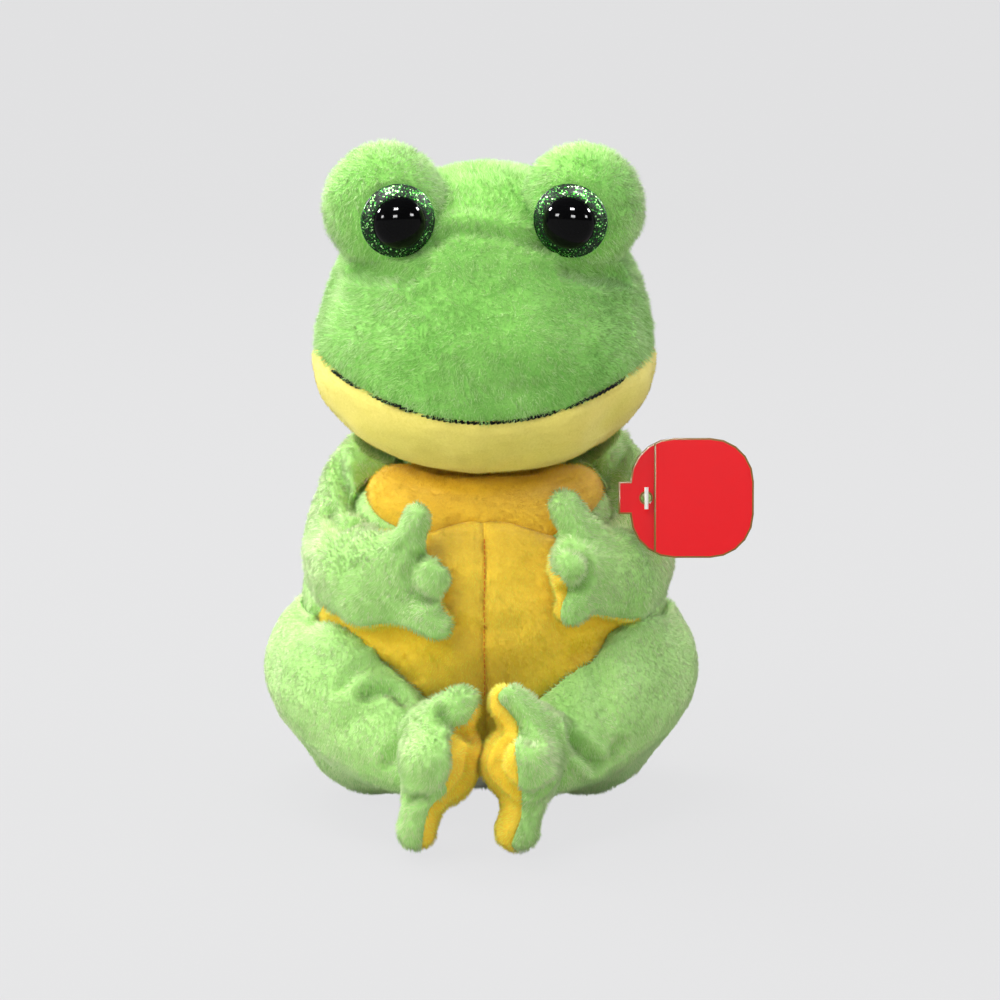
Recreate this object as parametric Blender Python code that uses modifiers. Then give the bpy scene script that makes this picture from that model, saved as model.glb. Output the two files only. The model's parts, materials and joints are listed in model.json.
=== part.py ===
"""A plush frog that sits: sewn panels over their filling, safety eyes, and a plain card tag.

Metres, +Z up, front towards -Y. The origin is the middle of the flat seat, on the floor.
"""

import math

import bmesh
import bpy
from mathutils import Matrix, Vector
from mathutils.bvhtree import BVHTree

MM = 0.001

# Cloth and clearances
GAP = 0.3 * MM
PILE_CLOTH = 1.6 * MM
CUT_OVERRUN = 30.0 * MM
SEAT_FLAT_DEPTH = 0.5 * MM

# How finely the soft forms are shaped
FORM_STEP = 2.2 * MM
SMALL_FORM_STEP = 1.3 * MM
STATION_STEPS = 4
BALL_STEPS = 3
SMOOTH_SHARE = 0.5
SMOOTH_TURNS = 5

# Torso: a pear that stands on its flat seat
TORSO_HALF_WIDTH = 53.0 * MM
TORSO_HALF_DEPTH = 43.0 * MM
TORSO_HEIGHT = 100.0 * MM
TORSO_SHARES = [
    (0.0, 0.05, 0.225, 0.70, 0.68, 0.23),
    (0.0, 0.20, 0.26, 0.66, 0.62, 0.24),
    (0.0, 0.00, 0.42, 0.87, 0.94, 0.31),
    (0.0, -0.05, 0.62, 1.00, 1.00, 0.30),
    (0.0, -0.03, 0.79, 0.74, 0.86, 0.17),
]
CHEST_LOBE_SHARES = [
    (-0.36, -0.02, 0.80, 0.42, 0.70, 0.16),
    (0.36, -0.02, 0.80, 0.42, 0.70, 0.16),
]
NAPE_SHARES = [
    (-0.08, 0.22, 0.86, 0.52, 0.60, 0.22),
    (0.08, 0.22, 0.86, 0.52, 0.60, 0.22),
]
CHEST_FRONT_SHARES = [
    (-0.27, -0.38, 0.81, 0.38, 0.40, 0.17),
    (0.27, -0.38, 0.81, 0.38, 0.40, 0.17),
]

# Belly and chest panels, as seen from the front
BELLY_HALF_WIDTH = 47.0 * MM
BELLY_HALF_HEIGHT = 33.0 * MM
BELLY_MIDDLE_SHARE = 0.54
BELLY_BACK_EDGE = -3.0 * MM
BELLY_SHARES = [
    (0.0, 1.0),
    (0.36, 0.86),
    (0.74, 0.52),
    (1.0, 0.12),
    (0.88, -0.50),
    (0.50, -0.90),
    (0.0, -1.0),
    (-0.50, -0.90),
    (-0.88, -0.50),
    (-1.0, 0.12),
    (-0.74, 0.52),
    (-0.36, 0.86),
]
CHEST_HALF_WIDTH = 31.5 * MM
CHEST_HALF_HEIGHT = 21.0 * MM
CHEST_MIDDLE_SHARE = 0.92
CHEST_BACK_EDGE = -10.0 * MM
CHEST_SHARES = [
    (0.0, 1.0),
    (0.80, 0.86),
    (1.0, 0.20),
    (0.82, -0.22),
    (0.45, -0.55),
    (0.0, -0.80),
    (-0.45, -0.55),
    (-0.82, -0.22),
    (-1.0, 0.20),
    (-0.80, 0.86),
]

# Neck: a ball of filling in a round seat, so that the head can turn and nod
NECK_RADIUS = 23.0 * MM
NECK_BACK = 2.0 * MM
NECK_SINK = 4.0 * MM
NECK_HEIGHT = TORSO_HEIGHT - NECK_SINK
NECK_CLEARANCE = 0.45 * MM
NECK_SIDES = 24
NECK_RINGS = 14
TURN_DEGREES = 15.0
TURN_STEPS = 4
NOD_DOWN_DEGREES = 2.0
NOD_UP_DEGREES = 9.0

# Head
HEAD_HALF_WIDTH = 49.5 * MM
HEAD_HALF_DEPTH = 46.0 * MM
HEAD_HEIGHT = 87.5 * MM
HEAD_SINK = 5.5 * MM
HEAD_FOOT_HEIGHT = TORSO_HEIGHT - HEAD_SINK
HEAD_SHARES = [
    (0.0, -0.09, 0.377, 1.0, 0.97, 0.377),
    (0.0, 0.00, 0.50, 0.96, 0.90, 0.36),
    (0.0, 0.06, 0.64, 0.84, 0.80, 0.36),
]
CHIN_SHARES = [
    (0.0, -0.435, 0.27, 0.84, 0.65, 0.24),
    (0.0, -0.25, 0.33, 0.97, 0.80, 0.26),
]

# Mouth: the seam that parts the green crown from the pale jaw
MOUTH_LIFT = 22.0 * MM
MOUTH_MIDDLE_HEIGHT = HEAD_FOOT_HEIGHT + MOUTH_LIFT
MOUTH_RISE = 15.0 * MM
MOUTH_WIDTH_SHARE = 0.86
MOUTH_STEPS = 20
JAW_BACK_EDGE = 14.0 * MM
STITCH_RADIUS = 0.45 * MM

# Eye bulges and safety eyes
BULGE_RADIUS = 18.4 * MM
BULGE_SIDE = 27.0 * MM
BULGE_FRONT = 13.0 * MM
BULGE_LIFT = 76.1 * MM
BULGE_HEIGHT = HEAD_FOOT_HEIGHT + BULGE_LIFT
EYE_INWARD_DEGREES = 13.0
EYE_DOWN_DEGREES = 7.5
EYE_RADIUS = 10.25 * MM
EYE_RIM_HEIGHT = 1.2 * MM
EYE_CONE_HEIGHT = 1.3 * MM
PUPIL_RADIUS = 7.25 * MM
PUPIL_HEIGHT = 4.6 * MM
EYE_POST_RADIUS = 2.0 * MM
EYE_POST_LENGTH = 6.5 * MM
WASHER_RADIUS = 7.0 * MM
WASHER_THICKNESS = 1.2 * MM
EYE_SIDES = 18

# Arms: spans from the middle plane, the torso's axis and the floor
ARM_ROOT_SIDE = NECK_RADIUS + 2 * GAP
ARM_ROOT_FRONT = 25.0 * MM
LEFT_ARM_SIDE = 39.0 * MM
RIGHT_ARM_SIDE = 41.5 * MM
ARM_SIDE = {"left": LEFT_ARM_SIDE, "right": RIGHT_ARM_SIDE}
ARM_FRONT = 43.0 * MM
ARM_SINK = 3.0 * MM
ARM_HEIGHT = TORSO_HEIGHT - ARM_SINK
ARM_RADIUS = 13.0 * MM
ARM_SHARES = [
    (0.70, 0.05, 1.02, 0.92, 1.00, 0.92),
    (0.88, -0.04, 0.91, 1.00, 1.08, 1.00),
    (1.00, -0.20, 0.78, 1.00, 1.00, 1.08),
    (0.96, -0.55, 0.725, 0.94, 0.92, 1.08),
    (0.76, -0.82, 0.74, 0.80, 0.72, 1.02),
    (0.60, -0.96, 0.77, 0.66, 0.58, 0.84),
]
SHOULDER_SIDE = 32.0 * MM
SHOULDER_BACK = 18.0 * MM
SHOULDER_DROP = 12.0 * MM
SHOULDER_HEIGHT = ARM_HEIGHT - SHOULDER_DROP
FINGER_RADIUS = 5.2 * MM
LEFT_FINGER_SHARES = [
    [
        (0.60, -0.96, 0.80, 1.1, 1.0, 1.2),
        (0.53, -1.00, 0.86, 1.0, 1.0, 1.0),
        (0.47, -0.98, 0.915, 0.96, 0.96, 0.96),
    ],
    [
        (0.56, -1.00, 0.76, 1.0, 1.0, 1.2),
        (0.42, -1.06, 0.757, 1.0, 1.0, 1.0),
        (0.34, -1.08, 0.755, 1.05, 1.05, 1.05),
    ],
    [
        (0.64, -0.94, 0.71, 1.2, 1.1, 1.2),
        (0.47, -1.04, 0.655, 1.05, 1.0, 1.05),
        (0.33, -1.08, 0.627, 1.05, 1.05, 1.05),
    ],
]
RIGHT_FINGER_SHARES = [
    [
        (0.72, -0.86, 0.84, 1.2, 1.1, 1.2),
        (0.59, -0.90, 0.90, 1.05, 1.05, 1.05),
        (0.53, -0.90, 0.945, 1.05, 1.05, 1.05),
    ],
    [
        (0.74, -0.92, 0.79, 1.1, 1.2, 1.2),
        (0.63, -1.02, 0.795, 1.1, 1.1, 1.15),
        (0.57, -1.10, 0.80, 1.1, 1.1, 1.15),
    ],
    [
        (0.76, -0.88, 0.74, 1.2, 1.2, 1.2),
        (0.64, -0.98, 0.685, 1.1, 1.1, 1.1),
        (0.57, -1.02, 0.655, 1.1, 1.1, 1.1),
    ],
]
PALM_DEPTH = 4.6 * MM
PALM_BACK_EDGE = -30.0 * MM

# Legs: spans from the middle plane, the torso's axis and the floor
LEFT_LEG_SIDE = 40.6 * MM
RIGHT_LEG_SIDE = 38.4 * MM
LEG_SIDE = {"left": LEFT_LEG_SIDE, "right": RIGHT_LEG_SIDE}
LEG_FRONT = 52.0 * MM
LEG_HEIGHT = 32.0 * MM
LEG_RADIUS = 27.0 * MM
LEG_SHARES = [
    (0.90, 0.22, 1.20, 0.80, 0.80, 0.84),
    (0.94, -0.12, 1.18, 0.95, 0.90, 0.90),
    (0.84, -0.48, 1.03, 0.78, 0.70, 0.76),
    (0.66, -0.73, 0.84, 0.58, 0.52, 0.58),
    (0.45, -0.93, 0.70, 0.38, 0.34, 0.42),
]
LEG_UNDER_SHARES = [
    (0.94, -0.06, 1.18, 0.95, 0.90, 0.88),
    (0.80, -0.12, 0.80, 0.82, 0.84, 0.93),
    (0.70, -0.42, 0.80, 0.72, 0.72, 0.76),
]
HIP_SIDE = 24.0 * MM
HIP_BACK = 31.0 * MM
HIP_HEIGHT = 30.0 * MM
FOOT_SIDE = 12.0 * MM
FOOT_FRONT = 57.0 * MM
FOOT_HEIGHT = 25.0 * MM
FOOT_RADIUS = 10.5 * MM
LEFT_FOOT_SHARES = [
    [
        (1.30, -0.90, 1.10, 0.9, 0.8, 1.1),
        (1.02, -0.98, 1.14, 1.05, 0.85, 1.05),
        (0.98, -1.00, 0.88, 1.02, 0.85, 1.05),
    ],
    [
        (1.20, -1.00, 1.35, 0.75, 0.75, 0.72),
        (0.85, -1.03, 1.52, 0.66, 0.66, 0.62),
        (0.50, -1.03, 1.64, 0.60, 0.62, 0.58),
    ],
    [
        (1.22, -1.04, 1.10, 0.86, 0.80, 0.95),
        (1.26, -1.13, 1.10, 0.84, 0.80, 0.98),
        (1.26, -1.18, 1.08, 0.80, 0.76, 0.92),
    ],
    [
        (1.20, -1.06, 0.78, 0.78, 0.75, 0.75),
        (1.38, -1.11, 0.52, 0.58, 0.58, 0.62),
        (1.52, -1.13, 0.30, 0.62, 0.60, 0.66),
    ],
]
RIGHT_FOOT_SHARES = [
    [
        (1.30, -0.90, 1.10, 0.9, 0.8, 1.1),
        (0.98, -0.98, 1.14, 1.0, 0.85, 1.05),
        (0.92, -1.00, 0.88, 0.98, 0.85, 1.05),
    ],
    [
        (1.20, -1.00, 1.30, 0.75, 0.75, 0.75),
        (0.92, -1.03, 1.50, 0.68, 0.68, 0.64),
        (0.55, -1.03, 1.66, 0.62, 0.64, 0.60),
    ],
    [
        (1.10, -1.04, 1.08, 0.84, 0.80, 0.92),
        (1.06, -1.13, 1.06, 0.80, 0.80, 0.94),
        (1.02, -1.18, 1.05, 0.74, 0.76, 0.88),
    ],
    [
        (0.95, -1.06, 0.74, 0.74, 0.72, 0.75),
        (0.84, -1.11, 0.50, 0.60, 0.60, 0.62),
        (0.72, -1.13, 0.28, 0.68, 0.64, 0.66),
    ],
]
LEFT_SOLE_EDGE = 17.5 * MM
RIGHT_SOLE_EDGE = 11.5 * MM
SOLE_EDGE = {"left": LEFT_SOLE_EDGE, "right": RIGHT_SOLE_EDGE}
SOLE_LEAN_DEGREES = {"left": 22.0, "right": 5.0}

# Filling
PELLET_BACK = 3.0 * MM
PELLET_HALF_WIDTH = 22.0 * MM
PELLET_HALF_DEPTH = 17.0 * MM
PELLET_HALF_HEIGHT = 9.0 * MM

# Card tag on its plastic fastener, at the right shoulder
TAG_WIDTH = 34.0 * MM
TAG_HEIGHT = 33.0 * MM
TAG_CORNER = 12.0 * MM
TAG_CARD = 0.6 * MM
TAG_SPINE_WIDTH = 3.2 * MM
TAG_HOLE_RADIUS = 1.4 * MM
TAG_HOLE_INSET = 4.4 * MM
TAG_CREASE = 2.2 * MM
TAG_OUTWARDS = 3.0 * MM
TAG_SIDE = RIGHT_ARM_SIDE + TAG_OUTWARDS
TAG_BACK = 10.5 * MM
TAG_FRONT = ARM_FRONT - TAG_BACK
TAG_DROP = 4.5 * MM
TAG_HOLE_HEIGHT = ARM_HEIGHT - TAG_DROP
TAG_LEAN_DEGREES = 9.0
FASTENER_RADIUS = 0.55 * MM
FASTENER_BAR = 6.0 * MM
CORNER_STEPS = 5

# Triangle budgets
TORSO_FACES = 480
HEAD_FACES = 520
BULGE_SIDES = 16
BULGE_RINGS = 8
BALL_SIDES = 16
BALL_RINGS = 8
ARM_FACES = 300
LEG_FACES = 280
FOOT_FACES = 280
CORE_FACES_SHARE = 0.42

SIDES = {"left": -1.0, "right": 1.0}

# Colours
GREEN = (0.29, 0.66, 0.20)
PALE_GREEN = (0.33, 0.70, 0.25)
YELLOW = (0.72, 0.44, 0.035)
ORANGE = (0.68, 0.36, 0.02)
JAW_YELLOW = (0.66, 0.55, 0.16)
GLITTER_GREEN = (0.03, 0.16, 0.05)
PUPIL_BLACK = (0.005, 0.005, 0.005)
THREAD_BLACK = (0.01, 0.01, 0.01)
TAG_RED = (0.78, 0.015, 0.03)
FILLING_WHITE = (0.85, 0.85, 0.83)
PELLET_GREY = (0.70, 0.70, 0.68)
PLASTIC_WHITE = (0.80, 0.80, 0.78)
CLOTH_ROUGHNESS = 0.9
CARD_ROUGHNESS = 0.35
GLOSS_ROUGHNESS = 0.06
PLASTIC_ROUGHNESS = 0.45


def clear_scene():
    """Remove whatever the file starts with."""
    for thing in list(bpy.data.objects):
        bpy.data.objects.remove(thing, do_unlink=True)


def new_collection(name):
    group = bpy.data.collections.new(name)
    bpy.context.scene.collection.children.link(group)
    return group


class Bench:
    """The two collections that the script fills: the toy's pieces, and its cutters and guides."""

    def __init__(self):
        self.pieces = new_collection("plush_frog")
        self.guides = new_collection("cutters")

    def guide(self, name, mesh):
        """Add a mesh as a cutter or a form that other pieces are made from."""
        thing = bpy.data.objects.new(name, mesh)
        thing.hide_render = True
        thing.display_type = "WIRE"
        self.guides.objects.link(thing)
        return thing

    def piece(self, name, form, colour, roughness=CLOTH_ROUGHNESS, pivot=None):
        """Take a finished form as a piece of the toy, with its own material and its pivot."""
        mesh = form.data.copy()
        mesh.name = name
        paint = bpy.data.materials.new(name)
        paint.use_nodes = True
        shader = paint.node_tree.nodes["Principled BSDF"]
        shader.inputs["Base Color"].default_value = (*colour, 1.0)
        shader.inputs["Roughness"].default_value = roughness
        shader.inputs["Metallic"].default_value = 0.0
        mesh.materials.clear()
        mesh.materials.append(paint)
        thing = bpy.data.objects.new(name, mesh)
        if pivot is not None:
            mesh.transform(Matrix.Translation(-pivot))
            thing.location = pivot
        mesh.shade_smooth()
        mesh.set_sharp_from_angle(angle=math.radians(40))
        self.pieces.objects.link(thing)
        return thing


def settled(thing):
    """Swap an object's mesh for its evaluated one, and clear its modifiers."""
    bpy.context.view_layer.update()
    graph = bpy.context.evaluated_depsgraph_get()
    mesh = bpy.data.meshes.new_from_object(thing.evaluated_get(graph))
    thing.modifiers.clear()
    thing.data = mesh
    return thing


def mesh_of(shape, name):
    """Turn a bmesh into a mesh, and free it."""
    mesh = bpy.data.meshes.new(name)
    shape.to_mesh(mesh)
    shape.free()
    return mesh


def boolean(thing, cutter, operation):
    """Apply one exact Boolean to an object."""
    step = thing.modifiers.new(operation, "BOOLEAN")
    step.operation = operation
    step.solver = "EXACT"
    step.object = cutter
    return settled(thing)


def cut(thing, *cutters):
    for cutter in cutters:
        boolean(thing, cutter, "DIFFERENCE")
    return thing


def common(thing, *others):
    for other in others:
        boolean(thing, other, "INTERSECT")
    return thing


def copied(bench, thing, name):
    return bench.guide(name, thing.data.copy())


def grown(bench, thing, distance):
    """Copy a form with its surface moved outwards, or inwards where the distance is negative."""
    shape = bmesh.new()
    shape.from_mesh(thing.data)
    shape.normal_update()
    moves = [(corner, corner.normal * distance) for corner in shape.verts]
    for corner, move in moves:
        corner.co += move
    return bench.guide(thing.name + "_grown", mesh_of(shape, thing.name))


def hollow(bench, form, wall, faces):
    """The plainer inner side of a form's cloth, a wall's thickness in."""
    inner = grown(bench, form, -wall)
    thin = inner.modifiers.new("thin", "DECIMATE")
    thin.ratio = faces * CORE_FACES_SHARE / len(inner.data.polygons)
    return settled(inner)


def stations(shares, spans, radius):
    """Turn a table of shares into places and radii: spans scale the place, radius the radii."""
    rows = []
    for x, y, z, across, along, up in shares:
        place = Vector((x * spans[0], y * spans[1], z * spans[2]))
        radii = Vector((across * radius[0], along * radius[1], up * radius[2]))
        rows.append((place, radii))
    return rows


def refined(rows, steps):
    """Put smooth in-between stations on a chain, so that it swells and tapers without corners."""
    finer = []
    for index in range(len(rows) - 1):
        before = rows[max(index - 1, 0)]
        first = rows[index]
        second = rows[index + 1]
        after = rows[min(index + 2, len(rows) - 1)]
        for step in range(steps):
            t = step / steps
            values = []
            for a, b, c, d in zip(before, first, second, after):
                bend = (2 * a - 5 * b + 4 * c - d) * t**2
                twist = (3 * b - a - 3 * c + d) * t**3
                values.append((2 * b + (c - a) * t + bend + twist) / 2)
            finer.append(tuple(values))
    finer.append(rows[-1])
    return finer


def add_hull(shape, first, second):
    """Add the convex skin around two stations' ellipsoids."""
    balls = bmesh.new()
    for place, radii in (first, second):
        matrix = Matrix.Translation(place) @ Matrix.Diagonal((*radii, 1.0))
        bmesh.ops.create_icosphere(balls, subdivisions=BALL_STEPS, radius=1.0, matrix=matrix)
    corners = [shape.verts.new(corner.co) for corner in balls.verts]
    balls.free()
    result = bmesh.ops.convex_hull(shape, input=corners)
    inside = result["geom_interior"] + result["geom_unused"]
    spare = {item for item in inside if isinstance(item, bmesh.types.BMVert)}
    bmesh.ops.delete(shape, geom=list(spare), context="VERTS")


def soft_form(bench, name, chains, step, faces):
    """Blend chains of stations into one smooth closed form with about the given number of triangles."""
    whole = bmesh.new()
    for chain in chains:
        rows = refined(chain, STATION_STEPS)
        for first, second in zip(rows, rows[1:]):
            part = bmesh.new()
            add_hull(part, first, second)
            mesh = mesh_of(part, name)
            whole.from_mesh(mesh)
            bpy.data.meshes.remove(mesh)
    return skinned(bench.guide(name, mesh_of(whole, name)), step, faces)


def skinned(thing, step, faces):
    """Give overlapping solids one smooth skin with about the given number of triangles."""
    skin = thing.modifiers.new("skin", "REMESH")
    skin.mode = "VOXEL"
    skin.voxel_size = step
    soften = thing.modifiers.new("soften", "SMOOTH")
    soften.factor = SMOOTH_SHARE
    soften.iterations = SMOOTH_TURNS
    settled(thing)
    shape = bmesh.new()
    shape.from_mesh(thing.data)
    bmesh.ops.triangulate(shape, faces=shape.faces[:])
    total = len(shape.faces)
    thing.data = mesh_of(shape, thing.name)
    thin = thing.modifiers.new("thin", "DECIMATE")
    thin.ratio = min(1.0, faces / total)
    return settled(thing)


def box(bench, name, low, high):
    """A box between two corners."""
    shape = bmesh.new()
    low = Vector(low)
    high = Vector(high)
    size = high - low
    matrix = Matrix.Translation((low + high) / 2) @ Matrix.Diagonal((*size, 1.0))
    bmesh.ops.create_cube(shape, size=1.0, matrix=matrix)
    return bench.guide(name, mesh_of(shape, name))


def ball(bench, name, centre, radii, sides=BALL_SIDES, rings=BALL_RINGS, frame=None):
    """An ellipsoid, optionally set in a frame of its own."""
    shape = bmesh.new()
    frame = frame or Matrix.Identity(4)
    matrix = frame @ Matrix.Translation(Vector(centre)) @ Matrix.Diagonal((*radii, 1.0))
    bmesh.ops.create_uvsphere(shape, u_segments=sides, v_segments=rings, radius=1.0, matrix=matrix)
    return bench.guide(name, mesh_of(shape, name))


def drum(bench, name, low_radius, high_radius, low, high, frame):
    """A round bar or cone along the frame's own z, between two heights."""
    shape = bmesh.new()
    matrix = frame @ Matrix.Translation((0, 0, (low + high) / 2))
    bmesh.ops.create_cone(
        shape,
        cap_ends=True,
        segments=EYE_SIDES,
        radius1=low_radius,
        radius2=high_radius,
        depth=high - low,
        matrix=matrix,
    )
    return bench.guide(name, mesh_of(shape, name))


def turned(bench, name, profile, frame):
    """A closed turned shape: the profile gives radius and height, from the top of the axis down."""
    mesh = bpy.data.meshes.new(name)
    mesh.from_pydata([(radius, 0, height) for radius, height in profile], [], [])
    shape = bmesh.new()
    shape.from_mesh(mesh)
    shape.verts.ensure_lookup_table()
    for first, second in zip(shape.verts[:-1], shape.verts[1:]):
        shape.edges.new((first, second))
    shape.to_mesh(mesh)
    shape.free()
    thing = bench.guide(name, mesh)
    spin = thing.modifiers.new("spin", "SCREW")
    spin.steps = EYE_SIDES
    spin.render_steps = EYE_SIDES
    spin.use_merge_vertices = True
    spin.merge_threshold = GAP / 100
    settled(thing)
    thing.data.transform(frame)
    return thing


def prism(bench, name, points, near, far, margin=0.0):
    """An outline in the front view, pushed through from one depth to another, and widened by a margin."""
    curve = bpy.data.curves.new(name, "CURVE")
    curve.dimensions = "2D"
    curve.fill_mode = "BOTH"
    curve.extrude = (far - near) / 2
    curve.resolution_u = 3
    line = curve.splines.new("BEZIER")
    line.use_cyclic_u = True
    line.bezier_points.add(len(points) - 1)
    middle = Vector((sum(x for x, _ in points), sum(z for _, z in points))) / len(points)
    for knot, point in zip(line.bezier_points, points):
        spoke = Vector(point) - middle
        place = middle + spoke * (1 + margin / spoke.length)
        knot.co = (place.x, place.y, 0)
        knot.handle_left_type = "AUTO"
        knot.handle_right_type = "AUTO"
    drawn = bpy.data.objects.new(name, curve)
    bench.guides.objects.link(drawn)
    bpy.context.view_layer.update()
    graph = bpy.context.evaluated_depsgraph_get()
    mesh = bpy.data.meshes.new_from_object(drawn.evaluated_get(graph))
    bpy.data.objects.remove(drawn)
    shape = bmesh.new()
    shape.from_mesh(mesh)
    bmesh.ops.remove_doubles(shape, verts=shape.verts[:], dist=GAP / 10)
    turn = Matrix.Translation((0, (near + far) / 2, 0)) @ Matrix.Rotation(math.pi / 2, 4, "X")
    bmesh.ops.transform(shape, matrix=turn, verts=shape.verts[:])
    bmesh.ops.recalc_face_normals(shape, faces=shape.faces[:])
    return bench.guide(name, mesh_of(shape, name))


def scaled_points(shares, half_width, half_height, middle_share):
    """An outline in the front view about a share of the torso's height."""
    middle = TORSO_HEIGHT * middle_share
    return [(x * half_width, middle + z * half_height) for x, z in shares]


def mirrored(rows, side):
    """Put a left or right sign on the places of a chain."""
    return [(Vector((place.x * side, place.y, place.z)), radii) for place, radii in rows]


class Torso:
    """The pear-shaped body: green back, two belly panels, a chest panel, filling and pellets."""

    def __init__(self, bench, head_room):
        self.bench = bench
        spans = (TORSO_HALF_WIDTH, TORSO_HALF_DEPTH, TORSO_HEIGHT)
        rows = stations(TORSO_SHARES, spans, spans)
        lobes = stations(CHEST_LOBE_SHARES, spans, spans)
        breast = stations(CHEST_FRONT_SHARES, spans, spans)
        nape = stations(NAPE_SHARES, spans, spans)
        chains = [rows, lobes, breast, nape]
        self.form = soft_form(bench, "torso_form", chains, FORM_STEP, TORSO_FACES)
        lowest = min(corner.co.z for corner in self.form.data.vertices)
        self.form.data.transform(Matrix.Translation((0, 0, -lowest - SEAT_FLAT_DEPTH)))
        self.core = self.seated(hollow(bench, self.form, PILE_CLOTH, TORSO_FACES), PILE_CLOTH)
        self.filling = self.seated(grown(bench, self.core, -GAP), PILE_CLOTH + GAP)
        self.clear = grown(bench, self.form, GAP)
        self.seated(self.form, 0)
        cut(self.form, head_room)
        cut(self.core, grown(bench, head_room, PILE_CLOTH))
        cut(self.filling, grown(bench, head_room, PILE_CLOTH + GAP))

    def seated(self, form, height):
        """Cut a form flat at a height above the floor."""
        reach = TORSO_HALF_WIDTH + CUT_OVERRUN
        below = box(self.bench, "floor_cut", (-reach, -reach, -reach), (reach, reach, height))
        return cut(form, below)

    def build(self, neck_seat):
        bench = self.bench
        shell = cut(copied(bench, self.form, "torso_shell"), self.core, neck_seat)
        front = -TORSO_HALF_DEPTH - CUT_OVERRUN
        belly_line = scaled_points(BELLY_SHARES, BELLY_HALF_WIDTH, BELLY_HALF_HEIGHT, BELLY_MIDDLE_SHARE)
        chest_line = scaled_points(CHEST_SHARES, CHEST_HALF_WIDTH, CHEST_HALF_HEIGHT, CHEST_MIDDLE_SHARE)
        belly = prism(bench, "belly_region", belly_line, front, BELLY_BACK_EDGE)
        belly_wide = prism(bench, "belly_wide", belly_line, front - GAP, BELLY_BACK_EDGE + GAP, GAP)
        chest = prism(bench, "chest_region", chest_line, front, CHEST_BACK_EDGE)
        chest_wide = prism(bench, "chest_wide", chest_line, front - GAP, CHEST_BACK_EDGE + GAP, GAP)
        back = cut(copied(bench, shell, "back"), belly_wide, chest_wide)
        bench.piece("torso_back_skin", back, GREEN)
        chest_skin = cut(common(copied(bench, shell, "chest"), chest), belly_wide)
        bench.piece("chest_skin", chest_skin, ORANGE)
        belly_skin = common(copied(bench, shell, "belly"), belly)
        reach = TORSO_HALF_WIDTH + CUT_OVERRUN
        for name, side in SIDES.items():
            edges = sorted((-side * GAP / 2, side * -reach))
            other = box(bench, "half", (edges[0], -reach, -reach), (edges[1], reach, TORSO_HEIGHT + reach))
            other.data.transform(Matrix.Translation((side * GAP, 0, 0)))
            half = cut(copied(bench, belly_skin, "belly_half"), other)
            bench.piece("belly_skin_" + name, half, YELLOW)
        self.fill(neck_seat)

    def fill(self, neck_seat):
        """The pellets lie on the seat, and the stuffing fills what is left."""
        bench = self.bench
        radii = Vector((PELLET_HALF_WIDTH, PELLET_HALF_DEPTH, PELLET_HALF_HEIGHT))
        centre = (0, PELLET_BACK, PILE_CLOTH + GAP * 2 + PELLET_HALF_HEIGHT)
        pellets = ball(bench, "pellets", centre, radii)
        bench.piece("pellet_bag", pellets, PELLET_GREY)
        pocket = ball(bench, "pellet_pocket", centre, radii + Vector((GAP, GAP, GAP)))
        stuffing = cut(self.filling, pocket, neck_seat)
        bench.piece("torso_stuffing", stuffing, FILLING_WHITE)


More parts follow.
